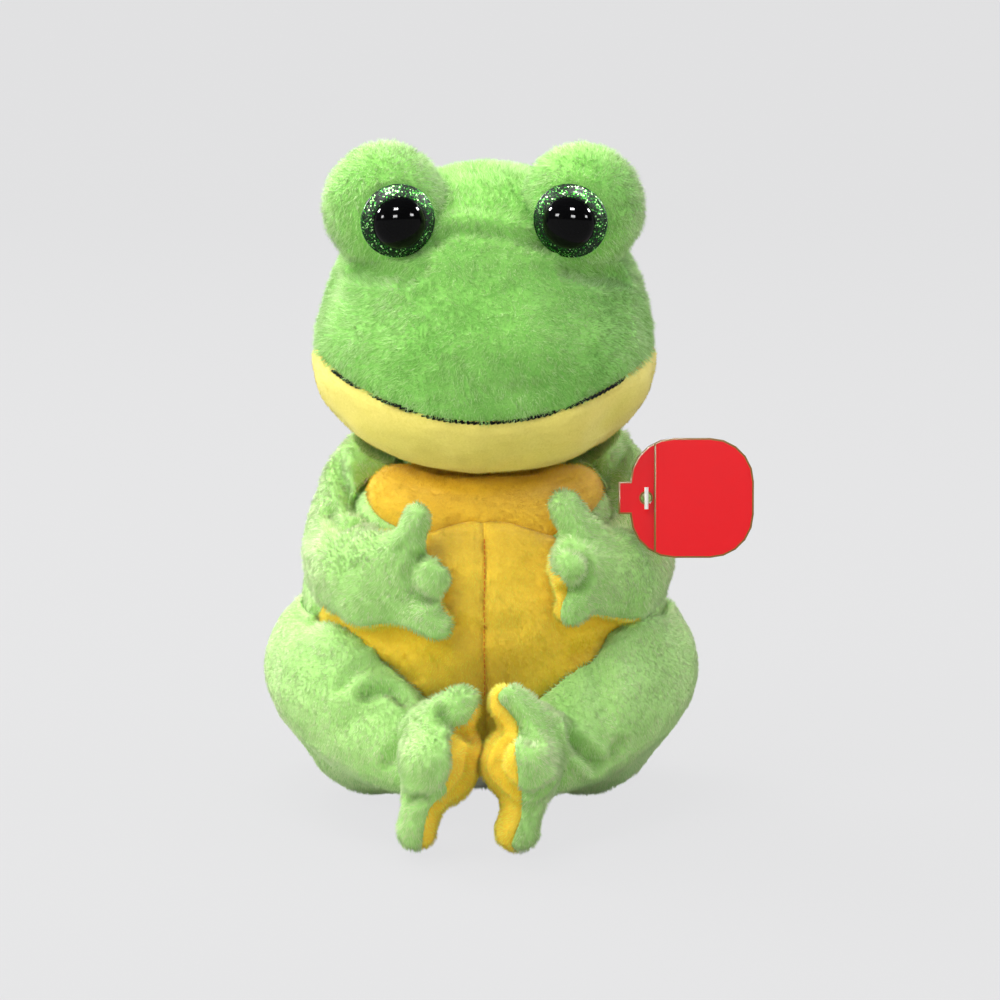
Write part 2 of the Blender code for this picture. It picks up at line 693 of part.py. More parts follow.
class Head:
    """Crown and jaw skins over their filling, with the eye bulges on top."""

    def __init__(self, bench, pivot):
        self.bench = bench
        self.pivot = pivot
        spans = (HEAD_HALF_WIDTH, HEAD_HALF_DEPTH, HEAD_HEIGHT)
        lift = Vector((0, 0, HEAD_FOOT_HEIGHT))
        chains = []
        for shares in (HEAD_SHARES, CHIN_SHARES):
            chains.append([(place + lift, radii) for place, radii in stations(shares, spans, spans)])
        self.form = soft_form(bench, "head_form", chains, FORM_STEP, HEAD_FACES)
        self.core = hollow(bench, self.form, PILE_CLOTH, HEAD_FACES)
        self.clear = grown(bench, self.form, GAP)
        self.flat = math.sqrt(BULGE_RADIUS**2 - EYE_RADIUS**2)
        self.under = self.flat - PILE_CLOTH

    def add(self, name, form, colour, roughness=CLOTH_ROUGHNESS):
        """Add one piece that moves with the head."""
        self.bench.piece(name, form, colour, roughness, self.pivot)

    def swept(self):
        """The space that the head sweeps as it turns and nods on the neck, with its clearance."""
        shape = bmesh.new()
        for step in range(TURN_STEPS + 1):
            turn = math.radians(TURN_DEGREES * (2 * step / TURN_STEPS - 1))
            for nod in (-NOD_UP_DEGREES, 0, NOD_DOWN_DEGREES):
                pose = Matrix.Rotation(turn, 4, "Z") @ Matrix.Rotation(math.radians(nod), 4, "X")
                mesh = self.form.data.copy()
                there = Matrix.Translation(self.pivot)
                mesh.transform(there @ pose @ there.inverted())
                shape.from_mesh(mesh)
                bpy.data.meshes.remove(mesh)
        thing = self.bench.guide("head_sweep", mesh_of(shape, "head_sweep"))
        return grown(self.bench, skinned(thing, FORM_STEP, HEAD_FACES), GAP * 3)

    def mouth_height(self, x):
        """Height of the mouth seam above the floor, at a distance from the middle plane."""
        return MOUTH_MIDDLE_HEIGHT + MOUTH_RISE * (x / HEAD_HALF_WIDTH) ** 2

    def jaw_region(self, name, lift, back):
        """Everything below the mouth seam and in front of the back edge."""
        reach = HEAD_HALF_WIDTH + CUT_OVERRUN
        points = []
        for step in range(MOUTH_STEPS + 1):
            x = reach * (2 * step / MOUTH_STEPS - 1)
            points.append((x, self.mouth_height(x) + lift))
        shape = bmesh.new()
        front = -HEAD_HALF_DEPTH - CUT_OVERRUN
        line = [shape.verts.new((x, front, z)) for x, z in points]
        line.append(shape.verts.new((reach, front, HEAD_FOOT_HEIGHT - CUT_OVERRUN)))
        line.append(shape.verts.new((-reach, front, HEAD_FOOT_HEIGHT - CUT_OVERRUN)))
        face = shape.faces.new(line)
        pushed = bmesh.ops.extrude_face_region(shape, geom=[face])
        corners = [item for item in pushed["geom"] if isinstance(item, bmesh.types.BMVert)]
        bmesh.ops.translate(shape, verts=corners, vec=(0, back - front, 0))
        bmesh.ops.recalc_face_normals(shape, faces=shape.faces[:])
        return self.bench.guide(name, mesh_of(shape, name))

    def build(self, neck_seat):
        bench = self.bench
        rooms = [self.eye_room(side) for side in SIDES.values()]
        shell = cut(copied(bench, self.form, "head_shell"), self.core, neck_seat, *rooms)
        jaw = self.jaw_region("jaw_region", 0.0, JAW_BACK_EDGE)
        jaw_wide = self.jaw_region("jaw_wide", GAP, JAW_BACK_EDGE + GAP)
        self.add("head_crown_skin", cut(copied(bench, shell, "crown"), jaw_wide), GREEN)
        self.add("head_jaw_skin", common(copied(bench, shell, "jaw"), jaw), JAW_YELLOW)
        filling = cut(grown(bench, self.core, -GAP), neck_seat, *rooms)
        self.add("head_stuffing", filling, FILLING_WHITE)
        self.stitch_mouth()
        for name, side in SIDES.items():
            self.build_eye(name, side)

    def stitch_mouth(self):
        """A line of black thread that follows the mouth seam, just clear of the cloth."""
        tree = BVHTree.FromObject(self.form, bpy.context.evaluated_depsgraph_get())
        stand_off = STITCH_RADIUS + GAP
        curve = bpy.data.curves.new("mouth", "CURVE")
        curve.dimensions = "3D"
        curve.bevel_depth = STITCH_RADIUS
        curve.bevel_resolution = 1
        curve.use_fill_caps = True
        line = curve.splines.new("POLY")
        line.points.add(MOUTH_STEPS)
        for step, point in enumerate(line.points):
            x = HEAD_HALF_WIDTH * MOUTH_WIDTH_SHARE * (2 * step / MOUTH_STEPS - 1)
            start = Vector((x, -HEAD_HALF_DEPTH - CUT_OVERRUN, self.mouth_height(x)))
            hit, normal, _, _ = tree.ray_cast(start, Vector((0, 1, 0)))
            point.co = (*(hit + normal * stand_off), 1.0)
        drawn = bpy.data.objects.new("mouth", curve)
        self.bench.guides.objects.link(drawn)
        bpy.context.view_layer.update()
        graph = bpy.context.evaluated_depsgraph_get()
        mesh = bpy.data.meshes.new_from_object(drawn.evaluated_get(graph))
        bpy.data.objects.remove(drawn)
        shape = bmesh.new()
        shape.from_mesh(mesh)
        bmesh.ops.remove_doubles(shape, verts=shape.verts[:], dist=STITCH_RADIUS / 100)
        thread = self.bench.guide("thread", mesh_of(shape, "thread"))
        self.add("mouth_stitching", thread, THREAD_BLACK)

    def eye_frame(self, side):
        """A frame at a bulge's centre whose own z is the safety eye's axis, outwards."""
        frame = Matrix.Translation((side * BULGE_SIDE, -BULGE_FRONT, BULGE_HEIGHT))
        frame @= Matrix.Rotation(-side * math.radians(EYE_INWARD_DEGREES), 4, "Z")
        return frame @ Matrix.Rotation(math.radians(90 + EYE_DOWN_DEGREES), 4, "X")

    def eye_room(self, side):
        """What the safety eye, its washer and its post keep clear of the head."""
        washer = self.under - WASHER_THICKNESS - GAP * 2
        post = self.flat - EYE_POST_LENGTH - GAP
        profile = [
            (0, BULGE_RADIUS + CUT_OVERRUN),
            (EYE_RADIUS + GAP, BULGE_RADIUS + CUT_OVERRUN),
            (EYE_RADIUS + GAP, self.flat),
            (WASHER_RADIUS + GAP, self.flat),
            (WASHER_RADIUS + GAP, washer),
            (EYE_POST_RADIUS + GAP, washer),
            (EYE_POST_RADIUS + GAP, post),
            (0, post),
        ]
        return turned(self.bench, "eye_room", profile, self.eye_frame(side))

    def build_eye(self, name, side):
        """An eye bulge with a flat for the safety eye, its post and the washer that holds it."""
        bench = self.bench
        frame = self.eye_frame(side)
        flat = self.flat
        under = self.under
        far = BULGE_RADIUS + CUT_OVERRUN
        round_form = self.capped_ball(BULGE_RADIUS, flat, frame)
        hollow = self.capped_ball(BULGE_RADIUS - PILE_CLOTH, under, frame)
        hole = drum(bench, "post_hole", EYE_POST_RADIUS + GAP, EYE_POST_RADIUS + GAP, 0, far, frame)
        bulge = cut(round_form, hollow, hole, self.clear)
        self.add("eye_bulge_" + name, bulge, GREEN)
        base = flat + GAP
        shoulder = base + EYE_RIM_HEIGHT
        face = shoulder + EYE_CONE_HEIGHT
        profile = [
            (0, face),
            (PUPIL_RADIUS, face),
            (EYE_RADIUS, shoulder),
            (EYE_RADIUS, base),
            (EYE_POST_RADIUS, base),
            (EYE_POST_RADIUS, flat - EYE_POST_LENGTH),
            (0, flat - EYE_POST_LENGTH),
        ]
        rim = turned(bench, "rim", profile, frame)
        self.add("eye_iris_" + name, rim, GLITTER_GREEN, PLASTIC_ROUGHNESS)
        seat = face + GAP
        dome = ball(bench, "dome", (0, 0, seat), (PUPIL_RADIUS, PUPIL_RADIUS, PUPIL_HEIGHT), frame=frame)
        cut(dome, drum(bench, "dome_cut", BULGE_RADIUS, BULGE_RADIUS, seat - CUT_OVERRUN, seat, frame))
        self.add("eye_pupil_" + name, dome, PUPIL_BLACK, GLOSS_ROUGHNESS)
        top = under - GAP
        washer = drum(bench, "washer", WASHER_RADIUS, WASHER_RADIUS, top - WASHER_THICKNESS, top, frame)
        self.add("eye_washer_" + name, cut(washer, hole), PLASTIC_WHITE, PLASTIC_ROUGHNESS)
        pocket_radius = WASHER_RADIUS + GAP
        pocket = drum(bench, "pocket", pocket_radius, pocket_radius, top - WASHER_THICKNESS - GAP, far, frame)
        filling = self.capped_ball(BULGE_RADIUS - PILE_CLOTH - GAP, under - GAP, frame)
        self.add("eye_filling_" + name, cut(filling, pocket, hole, self.clear), FILLING_WHITE)

    def capped_ball(self, radius, height, frame):
        """A ball whose outer end is cut flat at a height along its axis."""
        radii = (radius, radius, radius)
        whole = ball(self.bench, "bulge", (0, 0, 0), radii, BULGE_SIDES, BULGE_RINGS, frame)
        far = radius + CUT_OVERRUN
        return cut(whole, drum(self.bench, "cap_cut", far, far, height, far, frame))


class Arm:
    """One arm with its three-fingered hand: green back, yellow palm and filling."""

    def __init__(self, bench, name, side):
        self.bench = bench
        self.name = name
        self.side = side
        spans = (ARM_SIDE[name], ARM_FRONT, ARM_HEIGHT)
        limb = mirrored(stations(ARM_SHARES, spans, (ARM_RADIUS,) * 3), side)
        tables = LEFT_FINGER_SHARES if side < 0 else RIGHT_FINGER_SHARES
        fingers = [mirrored(stations(table, spans, (FINGER_RADIUS,) * 3), side) for table in tables]
        self.form = soft_form(bench, "arm_form", [limb, *fingers], SMALL_FORM_STEP, ARM_FACES)
        self.pivot = Vector((side * SHOULDER_SIDE, SHOULDER_BACK, SHOULDER_HEIGHT))
        wall = Vector((PILE_CLOTH,) * 3)
        inner = [(place, radii - wall) for place, radii in limb]
        faces = round(ARM_FACES * CORE_FACES_SHARE)
        self.core = soft_form(bench, "arm_core", [inner], SMALL_FORM_STEP, faces)

    def build(self, torso, blockers):
        """Cut the arm by its larger neighbours, and part the palm from the back of the arm."""
        bench = self.bench
        whole = cut(copied(bench, self.form, "arm_whole"), *blockers)
        shell = cut(copied(bench, whole, "arm_shell"), self.core)
        palm = self.palm_region(torso, PALM_DEPTH, PALM_BACK_EDGE)
        palm_wide = self.palm_region(torso, PALM_DEPTH + GAP, PALM_BACK_EDGE + GAP)
        skin = cut(copied(bench, shell, "arm_skin"), palm_wide)
        bench.piece("arm_skin_" + self.name, skin, PALE_GREEN, pivot=self.pivot)
        palm_skin = common(copied(bench, shell, "palm"), palm)
        bench.piece("palm_skin_" + self.name, palm_skin, YELLOW, pivot=self.pivot)
        filling = cut(grown(bench, self.core, -GAP), *blockers)
        bench.piece("arm_stuffing_" + self.name, filling, FILLING_WHITE, pivot=self.pivot)

    def palm_region(self, torso, depth, back):
        """The layer next to the belly, in front of the wrist."""
        region = grown(self.bench, torso.form, depth)
        reach = TORSO_HALF_WIDTH + CUT_OVERRUN
        front = box(self.bench, "palm_front", (-reach, -reach, 0), (reach, back, ARM_HEIGHT + reach))
        return common(region, front)


class Leg:
    """One leg, folded so that its sole faces the other: leg, foot and sole skins, and filling."""

    def __init__(self, bench, name, side):
        self.bench = bench
        self.name = name
        self.side = side
        spans = (LEG_SIDE[name], LEG_FRONT, LEG_HEIGHT)
        limb = mirrored(stations(LEG_SHARES, spans, (LEG_RADIUS,) * 3), side)
        under = mirrored(stations(LEG_UNDER_SHARES, spans, (LEG_RADIUS,) * 3), side)
        self.form = soft_form(bench, "leg_form", [limb, under], FORM_STEP, LEG_FACES)
        foot_spans = (FOOT_SIDE, FOOT_FRONT, FOOT_HEIGHT)
        tables = LEFT_FOOT_SHARES if side < 0 else RIGHT_FOOT_SHARES
        toes = [mirrored(stations(table, foot_spans, (FOOT_RADIUS,) * 3), side) for table in tables]
        self.foot_form = soft_form(bench, "foot_form", toes, SMALL_FORM_STEP, FOOT_FACES)
        self.pivot = Vector((side * HIP_SIDE, HIP_BACK, HIP_HEIGHT))
        wall = Vector((PILE_CLOTH,) * 3)
        inner = [(place, radii - wall) for place, radii in [*limb, toes[0][1]]]
        faces = round(LEG_FACES * CORE_FACES_SHARE)
        self.core = soft_form(bench, "leg_core", [inner], FORM_STEP, faces)
        self.clear = grown(bench, self.form, GAP)

    def build(self, blockers):
        bench = self.bench
        shell = cut(copied(bench, self.form, "leg_shell"), self.core, *blockers)
        bench.piece("leg_skin_" + self.name, shell, PALE_GREEN, pivot=self.pivot)
        foot = cut(copied(bench, self.foot_form, "foot_shell"), self.core, self.clear, *blockers)
        sole = self.sole_region("sole_region", 0.0)
        sole_wide = self.sole_region("sole_wide", GAP)
        foot_skin = cut(copied(bench, foot, "foot_skin"), sole_wide)
        bench.piece("foot_skin_" + self.name, foot_skin, PALE_GREEN, pivot=self.pivot)
        sole_skin = common(copied(bench, foot, "sole"), sole)
        bench.piece("sole_skin_" + self.name, sole_skin, YELLOW, pivot=self.pivot)
        filling = cut(grown(bench, self.core, -GAP), *blockers)
        bench.piece("leg_stuffing_" + self.name, filling, FILLING_WHITE, pivot=self.pivot)

    def sole_region(self, name, margin):
        """The side of the foot that faces the middle plane, up to a leaning boundary."""
        reach = CUT_OVERRUN + LEG_RADIUS * 2
        region = box(self.bench, name, (-reach, -reach, -reach), (margin, reach, reach))
        lean = Matrix.Rotation(math.radians(SOLE_LEAN_DEGREES[self.name]), 4, "Y")
        edge = Matrix.Translation((SOLE_EDGE[self.name], -FOOT_FRONT, 0))
        region.data.transform(edge @ lean.inverted())
        if self.side < 0:
            region.data.transform(Matrix.Diagonal((-1, 1, 1, 1)))
            region.data.flip_normals()
        return region


class Tag:
    """A plain two-leaf card tag on a plastic fastener."""

    def __init__(self, bench):
        self.bench = bench
        lean = Matrix.Rotation(math.radians(-TAG_LEAN_DEGREES), 4, "X")
        self.frame = Matrix.Translation((TAG_SIDE, -TAG_FRONT, TAG_HOLE_HEIGHT)) @ lean

    def leaf(self, name, near, spine):
        """A round-cornered card that hangs from the hole at its left, with a tab there or without."""
        left = -TAG_HOLE_INSET
        half = TAG_HEIGHT / 2 - TAG_CORNER
        near_x = left + TAG_CORNER
        far_x = left + TAG_WIDTH - TAG_CORNER
        points = []
        for quarter, (x, z) in enumerate(((far_x, half), (near_x, half), (near_x, -half), (far_x, -half))):
            for step in range(CORNER_STEPS + 1):
                angle = math.pi / 2 * (quarter + step / CORNER_STEPS)
                points.append((x + TAG_CORNER * math.cos(angle), z + TAG_CORNER * math.sin(angle)))
            if quarter == 1 and spine:
                points += [(left - TAG_SPINE_WIDTH, half), (left - TAG_SPINE_WIDTH, -half)]
        shape = bmesh.new()
        face = shape.faces.new([shape.verts.new((x, near, z)) for x, z in points])
        pushed = bmesh.ops.extrude_face_region(shape, geom=[face])
        corners = [item for item in pushed["geom"] if isinstance(item, bmesh.types.BMVert)]
        bmesh.ops.translate(shape, verts=corners, vec=(0, TAG_CARD, 0))
        bmesh.ops.recalc_face_normals(shape, faces=shape.faces[:])
        bmesh.ops.transform(shape, matrix=self.frame, verts=shape.verts[:])
        return self.bench.guide(name, mesh_of(shape, name))

    def along(self):
        """A frame at the hole whose own z points out of the card, towards the front."""
        return self.frame @ Matrix.Rotation(math.pi / 2, 4, "X")

    def build(self, arm):
        bench = self.bench
        reach = TAG_CARD * 8
        hole = drum(bench, "tag_hole", TAG_HOLE_RADIUS, TAG_HOLE_RADIUS, -reach, reach, self.along())
        front = self.leaf("front_leaf", -TAG_CARD - GAP / 2, False)
        back = self.leaf("back_leaf", GAP / 2, True)
        corner = (TAG_CREASE, reach, TAG_HEIGHT)
        beside = box(bench, "beside_crease", (-TAG_WIDTH, -reach, -TAG_HEIGHT), corner)
        beside.data.transform(self.frame)
        bench.piece("tag_front_leaf", cut(front, beside), TAG_RED, CARD_ROUGHNESS, pivot=self.fold())
        bench.piece("tag_back_leaf", cut(back, hole), TAG_RED, CARD_ROUGHNESS, pivot=self.hole())
        tree = BVHTree.FromObject(arm.form, bpy.context.evaluated_depsgraph_get())
        outwards = self.along().to_3x3() @ Vector((0, 0, 1))
        hit, _, _, _ = tree.ray_cast(self.hole() + outwards * CUT_OVERRUN, -outwards)
        depth = (hit - self.hole()).dot(outwards) + GAP + FASTENER_RADIUS
        head = TAG_CARD + GAP * 2
        radius = FASTENER_RADIUS
        post = drum(bench, "fastener", radius, radius, depth, head + radius, self.along())
        bar_frame = self.along() @ Matrix.Translation((0, 0, head + radius))
        bar_frame @= Matrix.Rotation(math.pi / 2, 4, "X")
        bar = drum(bench, "bar", radius, radius, -FASTENER_BAR / 2, FASTENER_BAR / 2, bar_frame)
        boolean(post, bar, "UNION")
        bench.piece("tag_fastener", post, PLASTIC_WHITE, PLASTIC_ROUGHNESS)

    def hole(self):
        return self.frame.translation.copy()

    def fold(self):
        """A point on the upright crease, beside the hole, that the front leaf opens about."""
        return self.frame @ Vector((TAG_CREASE, 0, 0))


def main():
    clear_scene()
    bench = Bench()
    neck_centre = Vector((0, NECK_BACK, NECK_HEIGHT))
    seat_radius = NECK_RADIUS + NECK_CLEARANCE
    seat = ball(bench, "neck_seat", neck_centre, (seat_radius,) * 3, NECK_SIDES, NECK_RINGS)
    neck = ball(bench, "neck", neck_centre, (NECK_RADIUS,) * 3, NECK_SIDES, NECK_RINGS)
    bench.piece("neck_stuffing", neck, FILLING_WHITE, pivot=neck_centre)
    head = Head(bench, neck_centre)
    head_room = head.swept()
    head.build(seat)
    torso = Torso(bench, head_room)
    torso.build(seat)
    reach = HEAD_HALF_WIDTH + CUT_OVERRUN
    arms = {}
    for name, side in SIDES.items():
        edges = sorted((side * GAP / 2, -side * reach))
        other_half = box(bench, "other_half", (edges[0], -reach, -reach), (edges[1], reach, reach * 2))
        below = box(bench, "below", (-reach, -reach, -reach), (reach, reach, GAP))
        leg = Leg(bench, name, side)
        leg.build((torso.clear, other_half, below))
        edges = sorted((side * ARM_ROOT_SIDE, -side * reach))
        root_low = (edges[0], -ARM_ROOT_FRONT, NECK_HEIGHT / 2)
        root = box(bench, "arm_root", root_low, (edges[1], reach, reach * 2))
        arms[name] = Arm(bench, name, side)
        arms[name].build(torso, (torso.clear, head_room, leg.clear, root))
    Tag(bench).build(arms["right"])


main()
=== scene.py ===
"""Plush frog: sewn panels with real pile, fibre filling, safety eyes and a plain card tag.

Metres, +Z up, front towards -Y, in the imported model's own frame. Each soft body is made from the
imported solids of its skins: they are merged, smoothed, drawn in to leave room for the pile, sculpted
with the folds of a stuffed toy, and parted again along their seams. The pile is real geometry.
"""

import json
import logging
import math
from dataclasses import dataclass, replace
from enum import Enum
from typing import Callable, Dict, Iterable, List, Optional, Sequence, Tuple, Union

import bmesh
import bpy
import numpy as np
from mathutils import Matrix, Vector
from mathutils.bvhtree import BVHTree


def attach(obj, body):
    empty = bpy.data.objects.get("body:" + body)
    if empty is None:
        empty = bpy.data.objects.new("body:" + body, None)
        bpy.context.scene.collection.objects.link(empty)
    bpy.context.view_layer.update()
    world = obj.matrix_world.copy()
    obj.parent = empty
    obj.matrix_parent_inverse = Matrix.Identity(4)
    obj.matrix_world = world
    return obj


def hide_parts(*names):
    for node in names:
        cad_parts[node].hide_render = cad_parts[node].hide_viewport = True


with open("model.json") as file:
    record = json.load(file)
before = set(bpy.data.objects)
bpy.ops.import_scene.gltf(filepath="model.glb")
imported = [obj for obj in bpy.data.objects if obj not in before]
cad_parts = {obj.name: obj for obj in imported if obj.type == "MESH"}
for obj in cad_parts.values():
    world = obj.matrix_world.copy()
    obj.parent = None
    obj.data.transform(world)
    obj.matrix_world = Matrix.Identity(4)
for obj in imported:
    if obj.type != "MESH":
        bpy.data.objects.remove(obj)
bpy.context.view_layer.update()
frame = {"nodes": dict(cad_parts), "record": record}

log = logging.getLogger("plush_frog")

MM = 0.001
SEED = 20417
SIDES = {"left": -1.0, "right": 1.0}
Array = np.ndarray
Colour = Tuple[int, int, int]
Socket = Union[str, int]


class Slot(Enum):
    """The record's material slots."""

    CROWN = "crown_plush"
    LIMB = "limb_plush"
    BELLY = "belly_plush"
    CHEST = "chest_plush"
    JAW = "jaw_plush"
    FILLING = "filling"
    PELLETS = "pellets"
    THREAD = "thread"
    IRIS = "glitter_iris"
    PUPIL = "pupil"
    WASHER = "washer_plastic"
    CARD = "tag_card"


def linear(colour: Colour) -> Tuple[float, float, float, float]:
    """Turn a screen colour into scene values.

    Args:
        colour: Red, green and blue from 0 to 255.

    Returns:
        Linear red, green, blue and an alpha of 1.
    """
    steps = [value / 255 for value in colour]
    return (*[s / 12.92 if s <= 0.04045 else ((s + 0.055) / 1.055) ** 2.4 for s in steps], 1.0)


def read(items: bpy.types.bpy_prop_collection, name: str, width: int, kind: type) -> Array:
    """Read a property of a mesh's vertices, edges, loops or faces.

    Args:
        items: The vertices, edges, loops or faces.
        name: The property.
        width: How many values each of them has.
        kind: A value's type.

    Returns:
        One row for each.
    """
    values = np.empty(len(items) * width, kind)
    items.foreach_get(name, values)
    return values.reshape(-1, width)


def coordinates(mesh: bpy.types.Mesh) -> Array:
    """Return a mesh's vertex places as an array of rows."""
    return read(mesh.vertices, "co", 3, float)


def vertex_normals(mesh: bpy.types.Mesh) -> Array:
    """Return a mesh's vertex normals as an array of rows."""
    mesh.update()
    return read(mesh.vertex_normals, "vector", 3, np.float32).astype(float)


def wave_noise(places: Array, size: float, seed: int, waves: int = 9) -> Array:
    """Smooth noise made of crossed waves.

    Args:
        places: Rows of x, y and z in metres.
        size: The usual width of a patch, in metres.
        seed: Chooses the pattern.
        waves: How many waves are added.

    Returns:
        One value for each row, mostly from -1 to 1.
    """
    draws = np.random.default_rng(SEED + seed)
    total = np.zeros(len(places))
    for _ in range(waves):
        heading = draws.normal(size=3)
        heading *= math.pi / size * draws.uniform(0.6, 1.5) / np.linalg.norm(heading)
        total += np.sin(places @ heading + draws.uniform(0, 2 * math.pi))
    return total / math.sqrt(waves)


def new_object(name: str, data: bpy.types.ID) -> bpy.types.Object:
    """Put a mesh, a lamp or a camera into the scene."""
    thing = bpy.data.objects.new(name, data)
    bpy.context.scene.collection.objects.link(thing)
    return thing


def select_only(thing: bpy.types.Object) -> None:
    """Deselect everything else and make one object active."""
    for other in bpy.context.selected_objects:
        other.select_set(False)
    thing.select_set(True)
    bpy.context.view_layer.objects.active = thing


def apply_modifier(thing: bpy.types.Object, kind: str, **settings: object) -> None:
    """Change an object's mesh by one modifier.

    Args:
        thing: The object.
        kind: The modifier's type.
        settings: The modifier's settings.
    """
    select_only(thing)
    modifier = thing.modifiers.new(kind.lower(), kind)
    for name, value in settings.items():
        setattr(modifier, name, value)
    bpy.ops.object.modifier_apply(modifier=modifier.name)


def smooth_faces(mesh: bpy.types.Mesh) -> None:
    """Shade all of a mesh's faces smooth."""
    mesh.polygons.foreach_set("use_smooth", np.ones(len(mesh.polygons), bool))


def shape_of(*meshes: bpy.types.Mesh) -> bmesh.types.BMesh:
    """One editable shape of all the meshes."""
    shape = bmesh.new()
    for mesh in meshes:
        shape.from_mesh(mesh)
    return shape


def packed_shape(nodes: Iterable[str]) -> bmesh.types.BMesh:
    """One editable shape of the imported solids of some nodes."""
    return shape_of(*[frame["nodes"][node].data for node in nodes])


def write_shape(shape: bmesh.types.BMesh, mesh: bpy.types.Mesh) -> None:
    """Put a shape into a mesh and free it."""
    shape.to_mesh(mesh)
    shape.free()


def search_tree(shape: bmesh.types.BMesh) -> BVHTree:
    """Make a search tree of a shape and free it."""
    tree = BVHTree.FromBMesh(shape)
    shape.free()
    return tree


def set_inputs(node: bpy.types.Node, values: Dict[str, object]) -> None:
    """Set a node's inputs, named in small letters with _ for a space."""
    for name, value in values.items():
        node.inputs[name.replace("_", " ").title().replace("Ior", "IOR")].default_value = value


def add_node(
    tree: bpy.types.NodeTree, kind: str, group: Optional[bpy.types.NodeTree] = None, **values: object
) -> bpy.types.Node:
    """Add a shader node.

    Args:
        tree: Where it goes.
        kind: Its type, without ShaderNode.
        group: The group that a group node shows.
        values: Its inputs, as for set_inputs.

    Returns:
        The node.
    """
    node = tree.nodes.new(f"ShaderNode{kind}")
    if group is not None:
        node.node_tree = group
    set_inputs(node, values)
    return node


def join(tree: bpy.types.NodeTree, *links: Tuple[bpy.types.Node, Socket, bpy.types.Node, Socket]) -> None:
    """Link nodes. Each link is a node and its output, and a node and its input."""
    for source, output, target, entry in links:
        tree.links.new(source.outputs[output], target.inputs[entry])


def plain_material(
    name: str, colour: Colour, roughness: float, **values: object
) -> Tuple[bpy.types.Material, bpy.types.NodeTree, bpy.types.Node]:
    """A material whose shader has one colour, for its caller to refine.

    Args:
        name: The material's name.
        colour: The screen colour.
        roughness: The shader's roughness.
        values: The shader's other inputs, as for set_inputs.

    Returns:
        The material, its node tree and its shader.
    """
    material = bpy.data.materials.new(name)
    material.use_nodes = True
    shader = material.node_tree.nodes["Principled BSDF"]
    set_inputs(shader, {"base_color": linear(colour), "roughness": roughness, **values})
    material.diffuse_color = linear(colour)
    return material, material.node_tree, shader


class ShaderGroups:
    """The node groups that more than one material uses, each built once."""

    def __init__(self) -> None:
        """Build the groups."""
        self.mottle = self._mottle()
        self.nap = self._nap()

    @staticmethod
    def _begin(
        name: str, inputs: Dict[str, object], output: str, kind: str, detail: float
    ) -> Tuple[bpy.types.NodeTree, bpy.types.Node, bpy.types.Node, bpy.types.Node]:
        """Start a group with two blended noises. Their scales and share are its last three inputs.

        Args:
            name: The group's name.
            inputs: Each input's usual value. A tuple is a colour.
            output: The name of its output.
            kind: The output's socket type.
            detail: The first noise's detail.

        Returns:
            The group, its input node, its output node and the blend.
        """
        group = bpy.data.node_groups.new(name, "ShaderNodeTree")
        for label, value in inputs.items():
            socket_type = "NodeSocketColor" if isinstance(value, tuple) else "NodeSocketFloat"
            socket = group.interface.new_socket(name=label, in_out="INPUT", socket_type=socket_type)
            socket.default_value = value
        group.interface.new_socket(name=output, in_out="OUTPUT", socket_type=kind)
        entry, leave = group.nodes.new("NodeGroupInput"), group.nodes.new("NodeGroupOutput")
        first_scale, second_scale, share = list(inputs)[-3:]
        place, blend = add_node(group, "TexCoord"), add_node(group, "Mix")
        first, second = add_node(group, "TexNoise", detail=detail), add_node(group, "TexNoise")
        join(
            group,
            (place, "Object", first, "Vector"),
            (place, "Object", second, "Vector"),
            (entry, first_scale, first, "Scale"),
            (entry, second_scale, second, "Scale"),
            (entry, share, blend, "Factor"),
            (first, "Fac", blend, "A"),
            (second, "Fac", blend, "B"),
        )
        return group, entry, leave, blend

    def _mottle(self) -> bpy.types.NodeTree:
        """Two colours that mix in broad patches and in fine flecks."""
        inputs = {"Deep": (0, 0, 0, 1), "Pale": (1, 1, 1, 1)}
        inputs.update({"Patch Scale": 60.0, "Fleck Scale": 1400.0, "Fleck Share": 0.5})
        group, entry, leave, blend = self._begin("cloth_mottle", inputs, "Color", "NodeSocketColor", 2.0)
        spread = add_node(group, "MapRange", from_min=0.32, from_max=0.68)
        mix = add_node(group, "Mix")
        mix.data_type = "RGBA"
        join(
            group,
            (blend, "Result", spread, "Value"),
            (spread, "Result", mix, "Factor"),
            (entry, "Deep", mix, "A"),
            (entry, "Pale", mix, "B"),
            (mix, "Result", leave, "Color"),
        )
        return group

    def _nap(self) -> bpy.types.NodeTree:
        """The height of a napped or fibrous surface: fine streaks over small lumps."""
        inputs = {"Streak Scale": 1800.0, "Lump Scale": 500.0, "Lump Share": 0.4}
        group, _, leave, blend = self._begin("fibre_nap", inputs, "Height", "NodeSocketFloat", 4.0)
        join(group, (blend, "Result", leave, "Height"))
        return group


@dataclass(frozen=True)
class ClothFinish:
    """The backing cloth under the pile, or a short-napped cloth that shows."""

    name: str
    deep: Colour
    pale: Colour
    bump: float = 0.3

    def material(self, groups: ShaderGroups) -> bpy.types.Material:
        """Build the material."""
        sheen = {"sheen_weight": 0.15, "sheen_roughness": 0.5}
        material, tree, shader = plain_material(self.name, self.pale, 0.92, specular_ior_level=0.15, **sheen)
        mottle = add_node(tree, "Group", groups.mottle, deep=linear(self.deep), pale=linear(self.pale))
        set_inputs(mottle, {"patch_scale": 60.0, "fleck_scale": 1500.0, "fleck_share": 0.55})
        nap = add_node(tree, "Group", groups.nap)
        bump = add_node(tree, "Bump", strength=self.bump, distance=0.25 * MM)
        join(
            tree,
            (mottle, "Color", shader, "Base Color"),
            (nap, "Height", bump, "Height"),
            (bump, "Normal", shader, "Normal"),
        )
        return material


